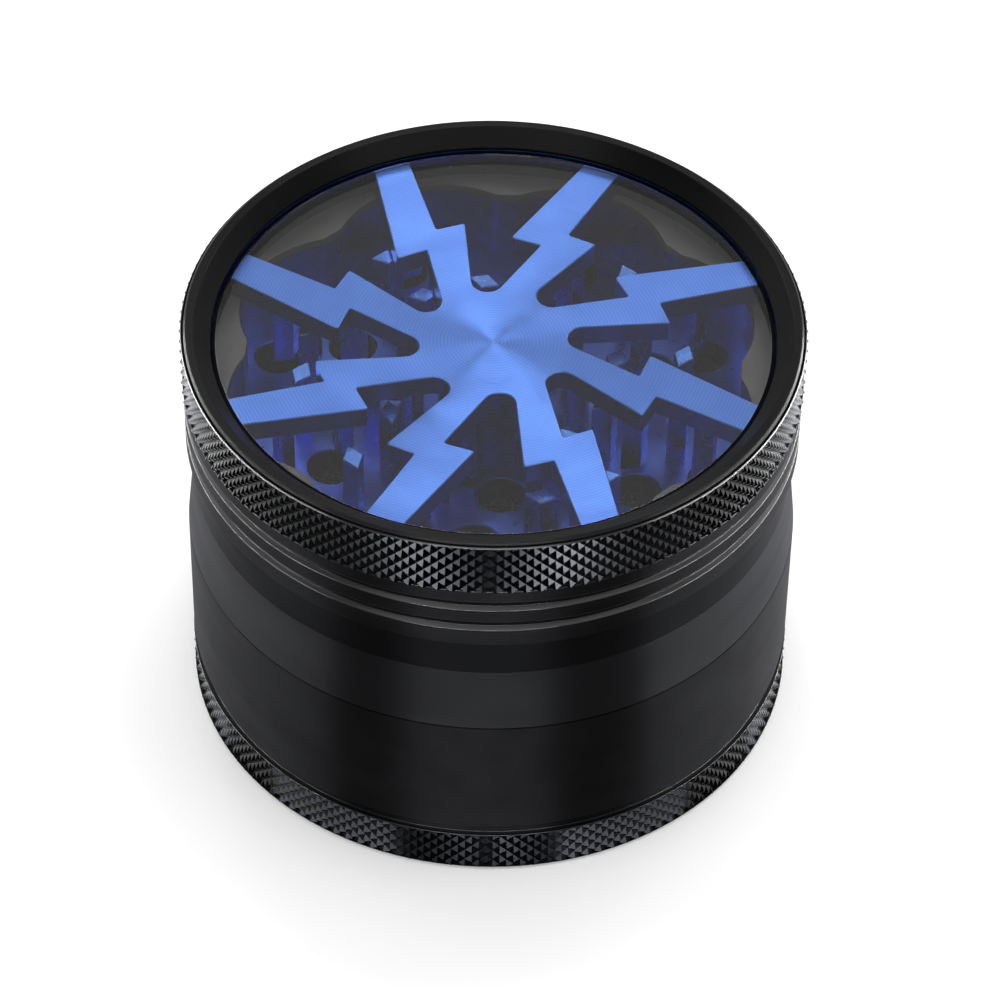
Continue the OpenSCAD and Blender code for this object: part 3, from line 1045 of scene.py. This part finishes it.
@dataclass(frozen=True)
class Thread:
    """A screw ridge that rises anticlockwise and fades at both ends."""

    # The wall's radius, 1 for a spigot's outside or -1 for a socket's inside, and the first height.
    radius: float
    way: int
    start_z: float
    height: float = 0.6
    pitch: float = 1.5
    turns: float = 1.5
    root_w: float = 0.9
    crest_w: float = 0.25
    sunk: float = 0.1
    # Steps in a turn, share of a turn in which an end grows, and the steps that it begins with.
    steps: int = 96
    fade: float = 0.1
    tip: float = 0.4

    @classmethod
    def on_spigot(cls, foot: float) -> "Thread":
        """Ridge outside a spigot whose lower end is at a height."""
        return cls(STACK.root_r, 1, foot + STACK.thread_lead + STACK.thread_shift)

    @classmethod
    def in_socket(cls, shelf: float) -> "Thread":
        """Ridge inside a socket whose shelf is at a height."""
        return cls(STACK.socket_r, -1, shelf + STACK.socket_gap + STACK.thread_lead)

    def build(self, finish: Material) -> Object:
        """Builds the ridge as a closed bar.

        Args:
            finish: material of the ridge.

        Returns:
            The ridge.
        """
        count = math.ceil(self.turns * self.steps)
        base = self.radius - self.way * self.sunk
        sections = []
        for k in range(count + 1):
            grow = min(1.0, (min(k, count - k) + self.tip) / (self.fade * self.steps))
            crest, half = self.radius + self.way * self.height * grow, self.crest_w / 2 * grow
            sections.append(spun(
                [(base, -self.root_w / 2), (crest, -half), (crest, half), (base, self.root_w / 2)],
                2 * math.pi * k / self.steps, self.start_z + self.pitch * k / self.steps))
        return dress(bar("thread", sections), finish)


@dataclass(frozen=True)
class Tooth:
    """A diamond tooth, milled with its long diagonal near the direction of turning."""

    # Side and sharper angle of the diamond, and the long diagonal's lean from that direction.
    side: float = 2.1
    corner: float = 64.0
    lean: float = 26.0
    height: float = 7.5
    chamfer: float = 0.12
    rounding: float = 0.12

    def ring(self, rings: RingTree, finish: Material, low: float, up: bool, count: int,
             radius: float, start: float) -> Object:
        """Builds a ring of teeth.

        Args:
            rings: tree that repeats a mesh round the axis.
            finish: material of the teeth.
            low: height of their lower ends.
            up: True if the free ends are the upper ones.
            count: number of teeth.
            radius: circle radius of the teeth.
            start: angle of the first tooth, in degrees.

        Returns:
            The ring of teeth.
        """
        long_half, short_half = polar(self.side, self.corner / 2)
        turn = math.radians(90 - self.lean)
        corners = []
        for x, y in ((long_half, 0), (0, short_half), (-long_half, 0), (0, -short_half)):
            corners.append((radius + x * math.cos(turn) - y * math.sin(turn),
                            x * math.sin(turn) + y * math.cos(turn), self.rounding))
        tooth = prism("tooth", rounded(corners, steps=2), low, low + self.height,
                      0.0 if up else self.chamfer, self.chamfer if up else 0.0)
        return rings.spread(tooth, finish, count, start)


TOOTH = Tooth()


# ---------------------------------------------------------------- the grinder's sub-assemblies


@dataclass
class SubAssembly:
    """What every sub-assembly is built with: the finishes, and the tree that repeats a mesh."""

    looks: Finishes
    rings: RingTree

    def black_body(self, name: str, profile: list[Corner]) -> Object:
        """Turns a black body with dark lips, and painted shade on the lips that face downwards.

        Args:
            name: name of the new object.
            profile: corners as (radius, height, rounding), in order round the section.

        Returns:
            The body.
        """
        body = dress(lathe(name, profile), self.looks.black)
        finish_lips(body, self.looks.black_lip, self.looks.black_knurl_and_shade)
        return body


@dataclass
class CatchTray(SubAssembly):
    """The shallow base that the sieved powder falls into."""

    floor: float = 1.5
    bowl_r: float = 27.2
    knurl_low: float = 0.4
    knurl_high: float = 5.2
    relief: float = 0.5

    def build(self) -> None:
        """Builds the tray with its knurled band and thread."""
        low, high = self.knurl_low, self.knurl_high
        shelf = STACK.z_sieve - STACK.socket_depth
        inner, rim = STACK.knurl_r - self.relief, STACK.knurl_r - 0.04
        bowl = self.black_body("bowl", [
            (0, 0, 0), (inner, 0, 0.15), (rim, low - 0.02, 0.08), (rim, low + 0.04, 0),
            (STACK.knurl_seat_r, low + 0.04, 0), (STACK.knurl_seat_r, high - 0.04, 0),
            (rim, high - 0.04, 0), (rim, high + 0.05, 0.06), (inner, high + 0.2, 0.05),
            (inner, STACK.z_sieve, 0.12), (STACK.socket_r, STACK.z_sieve, 0.12),
            (STACK.socket_r, shelf, 0.05), (self.bowl_r, shelf, 0.15),
            (self.bowl_r, self.floor, 0.6), (0, self.floor, 0)])
        thread = Thread.in_socket(shelf).build(self.looks.black)
        band = Knurl(low, high).build(self.rings, self.looks.black_knurl_and_shade)
        finish_piece(join("catch_tray_body", [bowl, thread, band]),
                     "tray", "black_anodised", "catch_tray")


@dataclass
class Sieve(SubAssembly):
    """The chamber that collects the ground herb, with its woven screen and spring ring."""

    bowl_r: float = 27.0
    spigot_bore: float = 25.2
    screen_t: float = 0.3
    screen_gap: float = 0.06
    mesh_pitch: float = 0.75
    ring_h: float = 1.2
    ring_w: float = 1.5
    ring_gap: float = 0.05
    ring_cut: float = 3.0
    ring_round: float = 0.3
    ring_steps: int = 180

    def build(self) -> None:
        """Builds the chamber, the screen and the spring ring."""
        black = self.looks.black
        spigot = STACK.z_sieve - STACK.spigot_len
        socket = STACK.z_chamber - STACK.socket_depth
        wall = dress(lathe("wall", [
            (self.spigot_bore, spigot, 0.15), (STACK.root_r, spigot, 0.2),
            (STACK.root_r, STACK.z_sieve, 0.05), (STACK.body_r, STACK.z_sieve, 0.16),
            (STACK.body_r, STACK.z_chamber, 0.16), (STACK.socket_r, STACK.z_chamber, 0.12),
            (STACK.socket_r, socket, 0.05), (self.bowl_r, socket, 0.2),
            (self.bowl_r, STACK.z_screen, 0.05), (self.spigot_bore, STACK.z_screen, 0.1)]), black)
        # Lips that face downwards get painted shade.
        finish_lips(wall, black, self.looks.black_knurl_and_shade)
        threads = [Thread.on_spigot(spigot).build(black), Thread.in_socket(socket).build(black)]
        finish_piece(join("sieve_chamber_wall", [wall, *threads]),
                     "sieve", "black_anodised", "sieve_chamber")
        self.screen()
        self.spring()

    def screen(self) -> None:
        """Weaves the screen."""
        screen = WeaveTree().apply(
            raw_object("woven_screen", [], []), Radius=(self.bowl_r - self.screen_gap) * MM,
            Pitch=self.mesh_pitch * MM, Wire_radius=self.screen_t / 4 * MM,
            Material=self.looks.screen)
        lift = (STACK.z_screen + self.screen_t / 2) * MM
        screen.data.transform(Matrix.Translation((0, 0, lift)))
        screen.data.shade_smooth()
        finish_piece(screen, "screen_pack", "steel_mesh", "sieve_screen")

    def spring(self) -> None:
        """Bends the open spring ring that holds the screen down."""
        low = STACK.z_screen + self.screen_t
        outer = self.bowl_r - self.ring_gap
        inner, high = outer - self.ring_w, low + self.ring_h
        section = rounded([(r, z, self.ring_round) for r, z in (
            (inner, low), (outer, low), (outer, high), (inner, high))])
        half = math.asin(self.ring_cut / 2 / outer)
        ring = bar("spring_ring", [
            spun(section, half + (2 * math.pi - 2 * half) * k / self.ring_steps)
            for k in range(self.ring_steps + 1)])
        finish_piece(dress(ring, self.looks.spring), "screen_pack", "spring_steel", "screen_ring")


@dataclass
class GrindingChamber(SubAssembly):
    """The middle body: a scalloped bowl with a tooth floor full of drop holes."""

    floor_t: float = 3.0
    cusp_r: float = 25.0
    scallop_r: float = 11.0
    scallop_pcr: float = 16.5
    scallop_turn: float = 20.1
    scallop_steps: int = 40
    bowl_r: float = 28.2
    under_r: float = 26.6
    post_r: float = 5.6
    cone_h: float = 7.4
    hole_r: float = 2.4
    # Count, circle radius and first angle of each ring of drop holes, and of teeth.
    holes: tuple = ((3, 11.2, 35), (6, 17.8, 25), (8, 23.8, 24))
    teeth: tuple = ((3, 12.45, 65), (3, 12.45, 95), (3, 12.45, 125), (6, 19.35, 45), (6, 19.35, 65))

    def build(self) -> None:
        """Builds the chamber, its teeth, its magnet and the glide ring."""
        self.body()
        sets = [TOOTH.ring(self.rings, self.looks.blue_milled, STACK.z_floor, True, *ring)
                for ring in self.teeth]
        finish_piece(join("chamber_tooth_rings", sets), "chamber", "blue_anodised", "chamber_teeth")
        magnet = disc("chamber_magnet_disc", STACK.magnet_r, STACK.z_post - STACK.magnet_t,
                      STACK.z_post, (0.15, 0.2))
        finish_piece(dress(magnet, self.looks.nickel),
                     "chamber_core", "nickel_plate", "chamber_magnet")
        glide = ring_plate("glide_ring_band", self.wall_outline(0.02), STACK.neck_r - 0.15,
                           STACK.z_neck, STACK.z_star)
        finish_piece(dress(glide, self.looks.nylon), "glide", "nylon", "glide_ring")

    def wall_outline(self, margin: float = 0.0) -> list[Point]:
        """Works out the inner outline of the scalloped wall.

        Args:
            margin: how far the outline is moved outwards.

        Returns:
            Its points, anticlockwise.
        """
        count, fold = STACK.folds * self.scallop_steps, 360 / STACK.folds
        points = []
        for k in range(count):
            a = 360 * k / count
            x, y = polar(self.scallop_pcr, (a - self.scallop_turn + fold / 2) % fold - fold / 2)
            far = x + math.sqrt(max(0.0, (self.scallop_r + margin) ** 2 - y**2))
            points.append(polar(max(self.cusp_r + margin, far), a))
        return points

    def cutters(self, under: float) -> list[Object]:
        """Makes the bowl, the space over the magnet's post and the drop holes, as solids.

        Args:
            under: height of the tooth floor's lower face.

        Returns:
            The solids, which don't touch each other.
        """
        floor, post, above = STACK.z_floor, STACK.z_post, STACK.z_neck + 1
        wide = self.post_r + 0.2
        shapes = [
            ring_plate("hollow", self.wall_outline(), self.post_r, floor, above),
            lathe("post_top", [
                (0, post - STACK.magnet_t, 0), (POCKET_R, post - STACK.magnet_t, 0),
                (POCKET_R, post - 0.15, 0), (STACK.magnet_r + 0.2, post, 0), (wide, post, 0),
                (wide, above, 0), (0, above, 0)], segments=96)]
        for count, radius, start in self.holes:
            plug = lathe("hole", [
                (0, under - 0.1, 0), (self.hole_r + 0.15, under - 0.1, 0),
                (self.hole_r, under + 0.1, 0), (self.hole_r, floor - 0.15, 0),
                (self.hole_r + 0.25, floor + 0.1, 0), (0, floor + 0.1, 0)], segments=48)
            plug.data.transform(Matrix.Translation((radius * MM, 0, 0)))
            shapes.append(self.rings.spread(plug, self.looks.black, count, start))
        return shapes

    def body(self) -> None:
        """Turns the chamber, cuts its bowl and holes, and threads its spigot."""
        looks, chamber = self.looks, STACK.z_chamber
        spigot, under = chamber - STACK.spigot_len, STACK.z_floor - self.floor_t
        cone_top = chamber + self.cone_h
        solid = lathe("solid", [
            (0, under, 0), (self.under_r, under, 0.2), (self.under_r, spigot, 0.15),
            (STACK.root_r, spigot, 0.2), (STACK.root_r, chamber, 0.05),
            (STACK.body_r, chamber, 0.16), (STACK.waist_r, cone_top, 0.3),
            (STACK.waist_r, STACK.z_shoulder, 0.2), (STACK.neck_r, STACK.z_shoulder, 0.08),
            (STACK.neck_r, STACK.z_neck, 0.12), (0, STACK.z_neck, 0)])
        carve(solid, self.cutters(under))
        dress(solid, looks.black, looks.navy_milled_painted_shade, looks.black_cone_painted_sheen, looks.black_waist_painted_shade)
        bowl_low, bowl_high, outside = under + 0.05, STACK.z_neck - 0.01, STACK.neck_r + 0.1
        # The bowl inside is painted darker blue, as painted shade.
        paint(solid, looks.navy_milled_painted_shade,
              lambda rise, r, z: r < self.bowl_r and bowl_low < z < bowl_high)
        # The cone outside is painted lighter, as painted sheen.
        paint(solid, looks.black_cone_painted_sheen, lambda rise, r, z: r > outside and chamber < z < cone_top)
        # The waist and shoulder under the lid's skirt are painted darker, as painted shade.
        paint(solid, looks.black_waist_painted_shade, lambda rise, r, z: r > outside and z > chamber)
        # Upper lips get their own finish; lips that face downwards get painted shade.
        finish_lips(solid, looks.black_lip, looks.black_knurl_and_shade)
        thread = Thread.on_spigot(spigot).build(looks.black)
        finish_piece(join("grinding_chamber_body", [solid, thread]),
                     "chamber", "black_anodised", "grinding_chamber")


@dataclass
class Lid(SubAssembly):
    """The lid: knurled body, lightning-bolt star with its teeth, window and bezel."""

    bore_gap: float = 0.3
    bore_r: float = 29.87
    ledge_r: float = 28.35
    z_rim: float = 43.2
    knurl_low: float = 40.9
    knurl_high: float = 46.8
    # Heights of the grooves' lower edges, their height and depth, and the share of that height
    # where their bottoms begin and end.
    grooves: tuple[float, float] = (35.45, 38.2)
    groove_h: float = 1.15
    groove_depth: float = 0.45
    groove_floor: Span = (0.25, 0.68)
    cup_r: float = 28.45
    rim_r: float = 29.85
    window_r: float = 28.4
    window_bevel: float = 0.5
    bezel_r: float = 31.05
    bezel_h: float = 0.45
    # Inner and outer radius of the flat on top of the bezel.
    land: Span = (30.05, 30.85)
    boss_r: float = 6.2
    boss_h: float = 1.6
    pocket_h: float = 0.4
    # Corners of the bolt on the right of a slot and of the one on its left, and the points that
    # their outer sides aim at, by radius and by angle from the slot.
    slot_end: Polar = (9.05, 4.6)
    right_out: Polar = (15.34, -17.7)
    right_in: Polar = (15.81, -5.8)
    right_aim: Polar = (31.2, -19.8)
    left_in: Polar = (18.1, 10.0)
    left_out: Polar = (17.87, 19.95)
    left_aim: Polar = (31.2, 18.4)
    # Radius of a slot's round end, and the roundings of the bolts' inner and outer corners.
    slot_round: float = 1.6
    in_round: float = 0.3
    out_round: float = 0.22
    star_chamfer: float = 0.1
    slot_steps: int = 14
    rim_steps: int = 8
    # Circle radius and first angle of each ring of teeth.
    teeth: tuple = ((9.0, -17.9), (15.9, -26.0), (22.8, -20.7))

    def build(self) -> None:
        """Builds every piece of the lid."""
        self.body()
        self.star()
        self.teeth_and_magnet()
        self.window_and_bezel()

    def body(self) -> None:
        """Builds the skirt with its two grooves and the knurled band."""
        bore, skirt, knurl = STACK.neck_r + self.bore_gap, STACK.skirt_r, STACK.knurl_r
        low, high, recess = self.knurl_low, self.knurl_high, skirt - self.groove_depth
        profile = [(bore, STACK.z_skirt, 0.1), (skirt, STACK.z_skirt, 0.2)]
        floor_low, floor_high = (self.groove_h * share for share in self.groove_floor)
        for z in self.grooves:
            profile += [(skirt, z, 0.1), (recess, z + floor_low, 0.05),
                        (recess, z + floor_high, 0.05), (skirt, z + self.groove_h, 0.06)]
        profile += [
            (skirt, low - 0.15, 0.04), (knurl - 0.12, low + 0.02, 0.04),
            (STACK.knurl_seat_r, low + 0.06, 0), (STACK.knurl_seat_r, high - 0.04, 0),
            (knurl - 0.08, high - 0.02, 0.04), (knurl - 0.2, high + 0.15, 0.04),
            (self.bore_r, high + 0.15, 0.05), (self.bore_r, self.z_rim, 0.05),
            (self.ledge_r, self.z_rim, 0.05), (self.ledge_r, STACK.z_star, 0.1),
            (bore, STACK.z_star, 0.05)]
        shell = self.black_body("shell", profile)
        # The grooves' bottoms are painted darker, as painted shade in the recess.
        paint(shell, self.looks.black_knurl_and_shade, lambda rise, r, z: abs(r - recess) < 0.08)
        band = Knurl(low, high).build(self.rings, self.looks.black_knurl_and_shade)
        finish_piece(join("lid_shell", [shell, band]), "lid", "black_anodised", "lid_body")

    def star_outline(self) -> list[Point]:
        """Works out the outline of the star of eight bolts, out to the window's cup.

        Returns:
            Its points, anticlockwise.
        """
        edge = self.cup_r + 0.15

        def at_rim(inner: Point, outer: Point) -> Point:
            """Finds where a line crosses the star's edge.

            Args:
                inner: point of the line inside the edge.
                outer: point of the line outside the edge.

            Returns:
                The crossing point.
            """
            a, b = Vector(inner), Vector(outer)
            low, high = 0.0, 1.0
            for _ in range(40):
                mid = (low + high) / 2
                low, high = (mid, high) if a.lerp(b, mid).length < edge else (low, mid)
            return tuple(a.lerp(b, low))

        def touch(point: Point, root: Point, side: int) -> float:
            """Angle on a slot's round end where the line from a point touches it."""
            gap = Vector(point) - Vector(root)
            return bearing(gap) + side * math.degrees(math.acos(self.slot_round / gap.length))

        corners: list[Corner] = []
        step = 360 / STACK.folds
        for base in (step * k for k in range(STACK.folds)):
            root, right_out, right_in, right_aim, left_in, left_out, left_aim = (
                polar(radius, base + angle) for radius, angle in (
                    self.slot_end, self.right_out, self.right_in, self.right_aim,
                    self.left_in, self.left_out, self.left_aim))
            left_rim = at_rim(left_out, left_aim)
            corners += [(*at_rim(right_in, right_aim), 0), (*right_in, self.in_round),
                        (*right_out, self.out_round)]
            start, end = touch(right_out, root, -1), touch(left_in, root, 1)
            start += 360 if start < end else 0
            start -= 360 if start - end > 360 else 0
            for i in range(self.slot_steps + 1):
                x, y = polar(self.slot_round, start + (end - start) * i / self.slot_steps)
                corners.append((root[0] + x, root[1] + y, 0))
            corners += [(*left_in, self.in_round), (*left_out, self.out_round), (*left_rim, 0)]
            next_rim = at_rim(*(polar(radius, base + step + angle)
                                for radius, angle in (self.right_in, self.right_aim)))
            a0, a1 = bearing(left_rim), bearing(next_rim)
            a1 += 360 if a1 < a0 else 0
            corners += [(*polar(edge, a0 + (a1 - a0) * i / self.rim_steps), 0)
                        for i in range(1, self.rim_steps)]
        return rounded(corners, steps=4)

    def star(self) -> None:
        """Cuts the star and turns the rim that holds the window."""
        star, cup, rim = STACK.z_star, self.cup_r, self.rim_r
        plate = prism("plate", self.star_outline(), star, STACK.z_window - 0.03,
                      self.star_chamfer, self.star_chamfer)
        carve(plate, [disc("pocket", POCKET_R, star - 0.5, star + self.pocket_h)])
        low, high = star - self.boss_h, star + 0.1
        boss = lathe("boss", [(POCKET_R, low, 0.15), (self.boss_r, low, 0.2),
                              (self.boss_r, high, 0), (POCKET_R, high, 0)], segments=144)
        ring = lathe("rim", [(cup, self.z_rim, 0.03), (rim, self.z_rim, 0.1),
                             (rim, STACK.z_bezel, 0.1), (cup, STACK.z_bezel, 0.1)])
        for part in (plate, boss, ring):
            # Walls of the star, its boss and its rim are painted darker blue than the tops, as
            # painted shade.
            dress(part, self.looks.blue, self.looks.navy_milled_painted_shade)
            paint(part, self.looks.navy_milled_painted_shade, lambda rise, r, z: abs(rise) < WALL_RISE)
        finish_piece(join("lightning_star", [plate, boss, ring]),
                     "lid", "blue_anodised", "star_plate")

    def teeth_and_magnet(self) -> None:
        """Mills the three rings of teeth and presses in the magnet."""
        low = STACK.z_star - TOOTH.height
        sets = [TOOTH.ring(self.rings, self.looks.blue_milled, low, False, STACK.folds, *ring)
                for ring in self.teeth]
        finish_piece(join("lid_tooth_rings", sets), "lid", "blue_anodised", "lid_teeth")
        base = STACK.z_star - self.boss_h
        magnet = disc("lid_magnet_disc", STACK.magnet_r, base, base + STACK.magnet_t - 0.02,
                      (0.2, 0.15))
        finish_piece(dress(magnet, self.looks.nickel), "lid", "nickel_plate", "lid_magnet")

    def window_and_bezel(self) -> None:
        """Turns the clear window and the ring that holds it down."""
        window, bevel, seat, top = self.window_r, self.window_bevel, STACK.z_bezel, STACK.z_top
        pane = lathe("window_pane", [
            (0, STACK.z_window, 0), (window, STACK.z_window, 0.06), (window, seat - bevel, 0.08),
            (window - bevel, seat, 0.08), (0, seat, 0)])
        # The window's bevel is painted opaque black, as painted shade at its edge.
        dress(pane, self.looks.acrylic, self.looks.black_fine_and_shade)
        paint(pane, self.looks.black_fine_and_shade, lambda rise, r, z: WALL_RISE < rise < BEVEL_RISE)
        finish_piece(pane, "lid", "clear_acrylic", "window")
        lip, foot = self.cup_r - 0.02, top - self.bezel_h
        ring = lathe("bezel_band", [
            (lip, seat + 0.01, 0.05), (self.rim_r, seat + 0.01, 0.05), (self.rim_r, foot, 0),
            (self.bezel_r, foot, 0.06), (self.bezel_r, top - 0.2, 0.06), (self.land[1], top, 0.12),
            (self.land[0], top, 0.1), (lip, seat + 0.35, 0.08)])
        finish_piece(dress(ring, self.looks.black_fine_and_shade), "lid", "black_anodised", "bezel_ring")


# ---------------------------------------------------------------- stage, camera and light


@dataclass(frozen=True)
class Softbox:
    """A rectangular lamp aimed at the grinder, with its lengths in metres."""

    name: str
    azimuth: float
    elevation: float
    distance: float
    width: float
    height: float
    radiance: float

    def build(self) -> None:
        """Hangs the lamp. Azimuth 0 is in front, and 90 is on the right."""
        data = bpy.data.lights.new(self.name, "AREA")
        data.shape, data.size, data.size_y = "RECTANGLE", self.width, self.height
        data.energy = math.pi * self.width * self.height * self.radiance
        lamp = linked(self.name, data)
        x, y = polar(math.cos(math.radians(self.elevation)), self.azimuth - 90)
        place = Vector((x, y, math.sin(math.radians(self.elevation)))) * self.distance
        lamp.location = place
        lamp.rotation_mode = "QUATERNION"
        lamp.rotation_quaternion = place.to_track_quat("Z", "Y")
        lamp.visible_camera = False


@dataclass(frozen=True)
class Studio:
    """Plain pale floor, white surround, soft lamps and the camera."""

    camera_at: Corner = (0.9, -334.9, 357.9)
    pitch: float = 45.08
    roll: float = 0.903
    focal_px: float = 4564.0
    frame_px: float = 1000.0
    sensor: float = 36.0
    clip: Span = (0.01, 20.0)  # metres
    floor_size: float = 3000.0
    floor_gap: float = 0.03
    floor_tone: float = 0.9
    floor_glow: float = 0.15
    floor_fade: Span = (0.2, 0.6)  # metres
    horizon_level: float = 0.8
    sky_level: float = 0.44
    front_level: float = 0.096
    lamps: tuple[Softbox, ...] = (
        Softbox("top_lamp", 12, 76, 0.85, 0.9, 0.45, 2.5),
        Softbox("back_top_lamp", 168, 66, 0.85, 0.5, 0.2, 7.0),
        Softbox("front_lamp", -3, 1.9, 0.8, 0.66, 0.05, 125.0),
        Softbox("left_lamp", -92, 1.9, 0.8, 1.35, 0.05, 140.0),
        Softbox("right_lamp", 92, 1.9, 0.8, 1.35, 0.05, 185.0),
        Softbox("back_left_lamp", -145, 48, 0.9, 0.45, 0.4, 2.6),
        Softbox("back_right_lamp", 145, 48, 0.9, 0.45, 0.4, 1.2),
    )

    def build(self) -> None:
        """Builds the stage."""
        bpy.context.scene.view_settings.view_transform = "Standard"
        self.floor()
        self.world()
        self.camera()
        for lamp in self.lamps:
            lamp.build()

    def floor(self) -> None:
        """Lays the pale floor, which the camera sees fade to white far from the grinder."""
        half, z = self.floor_size / 2, -self.floor_gap
        floor = raw_object("floor", [
            (-half, -half, z), (half, -half, z), (half, half, z), (-half, half, z)], [(0, 1, 2, 3)])
        s = Shader("pale_floor")
        tone = self.floor_tone
        matt = s.node("BsdfDiffuse", {"Color": (tone, tone, tone, 1.0)})
        rays = s.node("LightPath").outputs
        seen = rays["Is Camera Ray"]
        mirrored = s.math("MAXIMUM", rays["Is Glossy Ray"], rays["Is Transmission Ray"])
        near = s.math("MULTIPLY", s.math("MAXIMUM", seen, mirrored), self.floor_glow)
        far = s.fade(s.vector("LENGTH", s.flat()), *self.floor_fade, 0.0, 1.0)
        glow = s.node("Emission", {
            "Color": (1.0, 1.0, 1.0, 1.0),
            "Strength": s.math("MAXIMUM", near, s.math("MULTIPLY", seen, far))})
        both = s.node("AddShader", {0: matt.outputs[0], 1: glow.outputs[0]})
        dress(floor, s.end(both))

    def world(self) -> None:
        """Lights the surround: pale at the skyline and dimmer above it, most of all in front.

        The camera itself sees plain white.
        """
        s = Shader("surround", world=True)
        bpy.context.scene.world = s.owner
        axes = s.node("SeparateXYZ", {0: s.place}).outputs
        sky = s.fade(axes[1], -0.2, 0.35, self.front_level, self.sky_level)
        level = s.fade(axes[2], 0.04, 0.16, self.horizon_level, sky)
        seen = s.node("LightPath").outputs["Is Camera Ray"]
        s.end(s.node("Background", {
            "Color": (1.0, 1.0, 1.0, 1.0), "Strength": s.math("MAXIMUM", level, seen)}))

    def camera(self) -> None:
        """Places the camera."""
        data = bpy.data.cameras.new("camera")
        data.sensor_width = self.sensor
        data.lens = self.focal_px / self.frame_px * self.sensor
        data.clip_start, data.clip_end = self.clip
        camera = linked("camera", data)
        p, r = math.radians(self.pitch), math.radians(self.roll)
        forward = Vector((0, math.cos(p), -math.sin(p)))
        right = Vector((1, 0, 0))
        up = right.cross(forward)
        x = right * math.cos(r) + up * math.sin(r)
        y = up * math.cos(r) - right * math.sin(r)
        turn = Matrix((x, y, -forward)).transposed().to_4x4()
        camera.matrix_world = Matrix.Translation(Vector(self.camera_at) * MM) @ turn
        bpy.context.scene.camera = camera


def main() -> None:
    """Builds the stage, and then the grinder from the base up."""
    logging.basicConfig(level=logging.INFO, format="%(name)s: %(message)s")
    Studio().build()
    looks, rings = Finishes(), RingTree()
    for part in (CatchTray, Sieve, GrindingChamber, Lid):
        part(looks, rings).build()


if __name__ == "__main__":
    main()
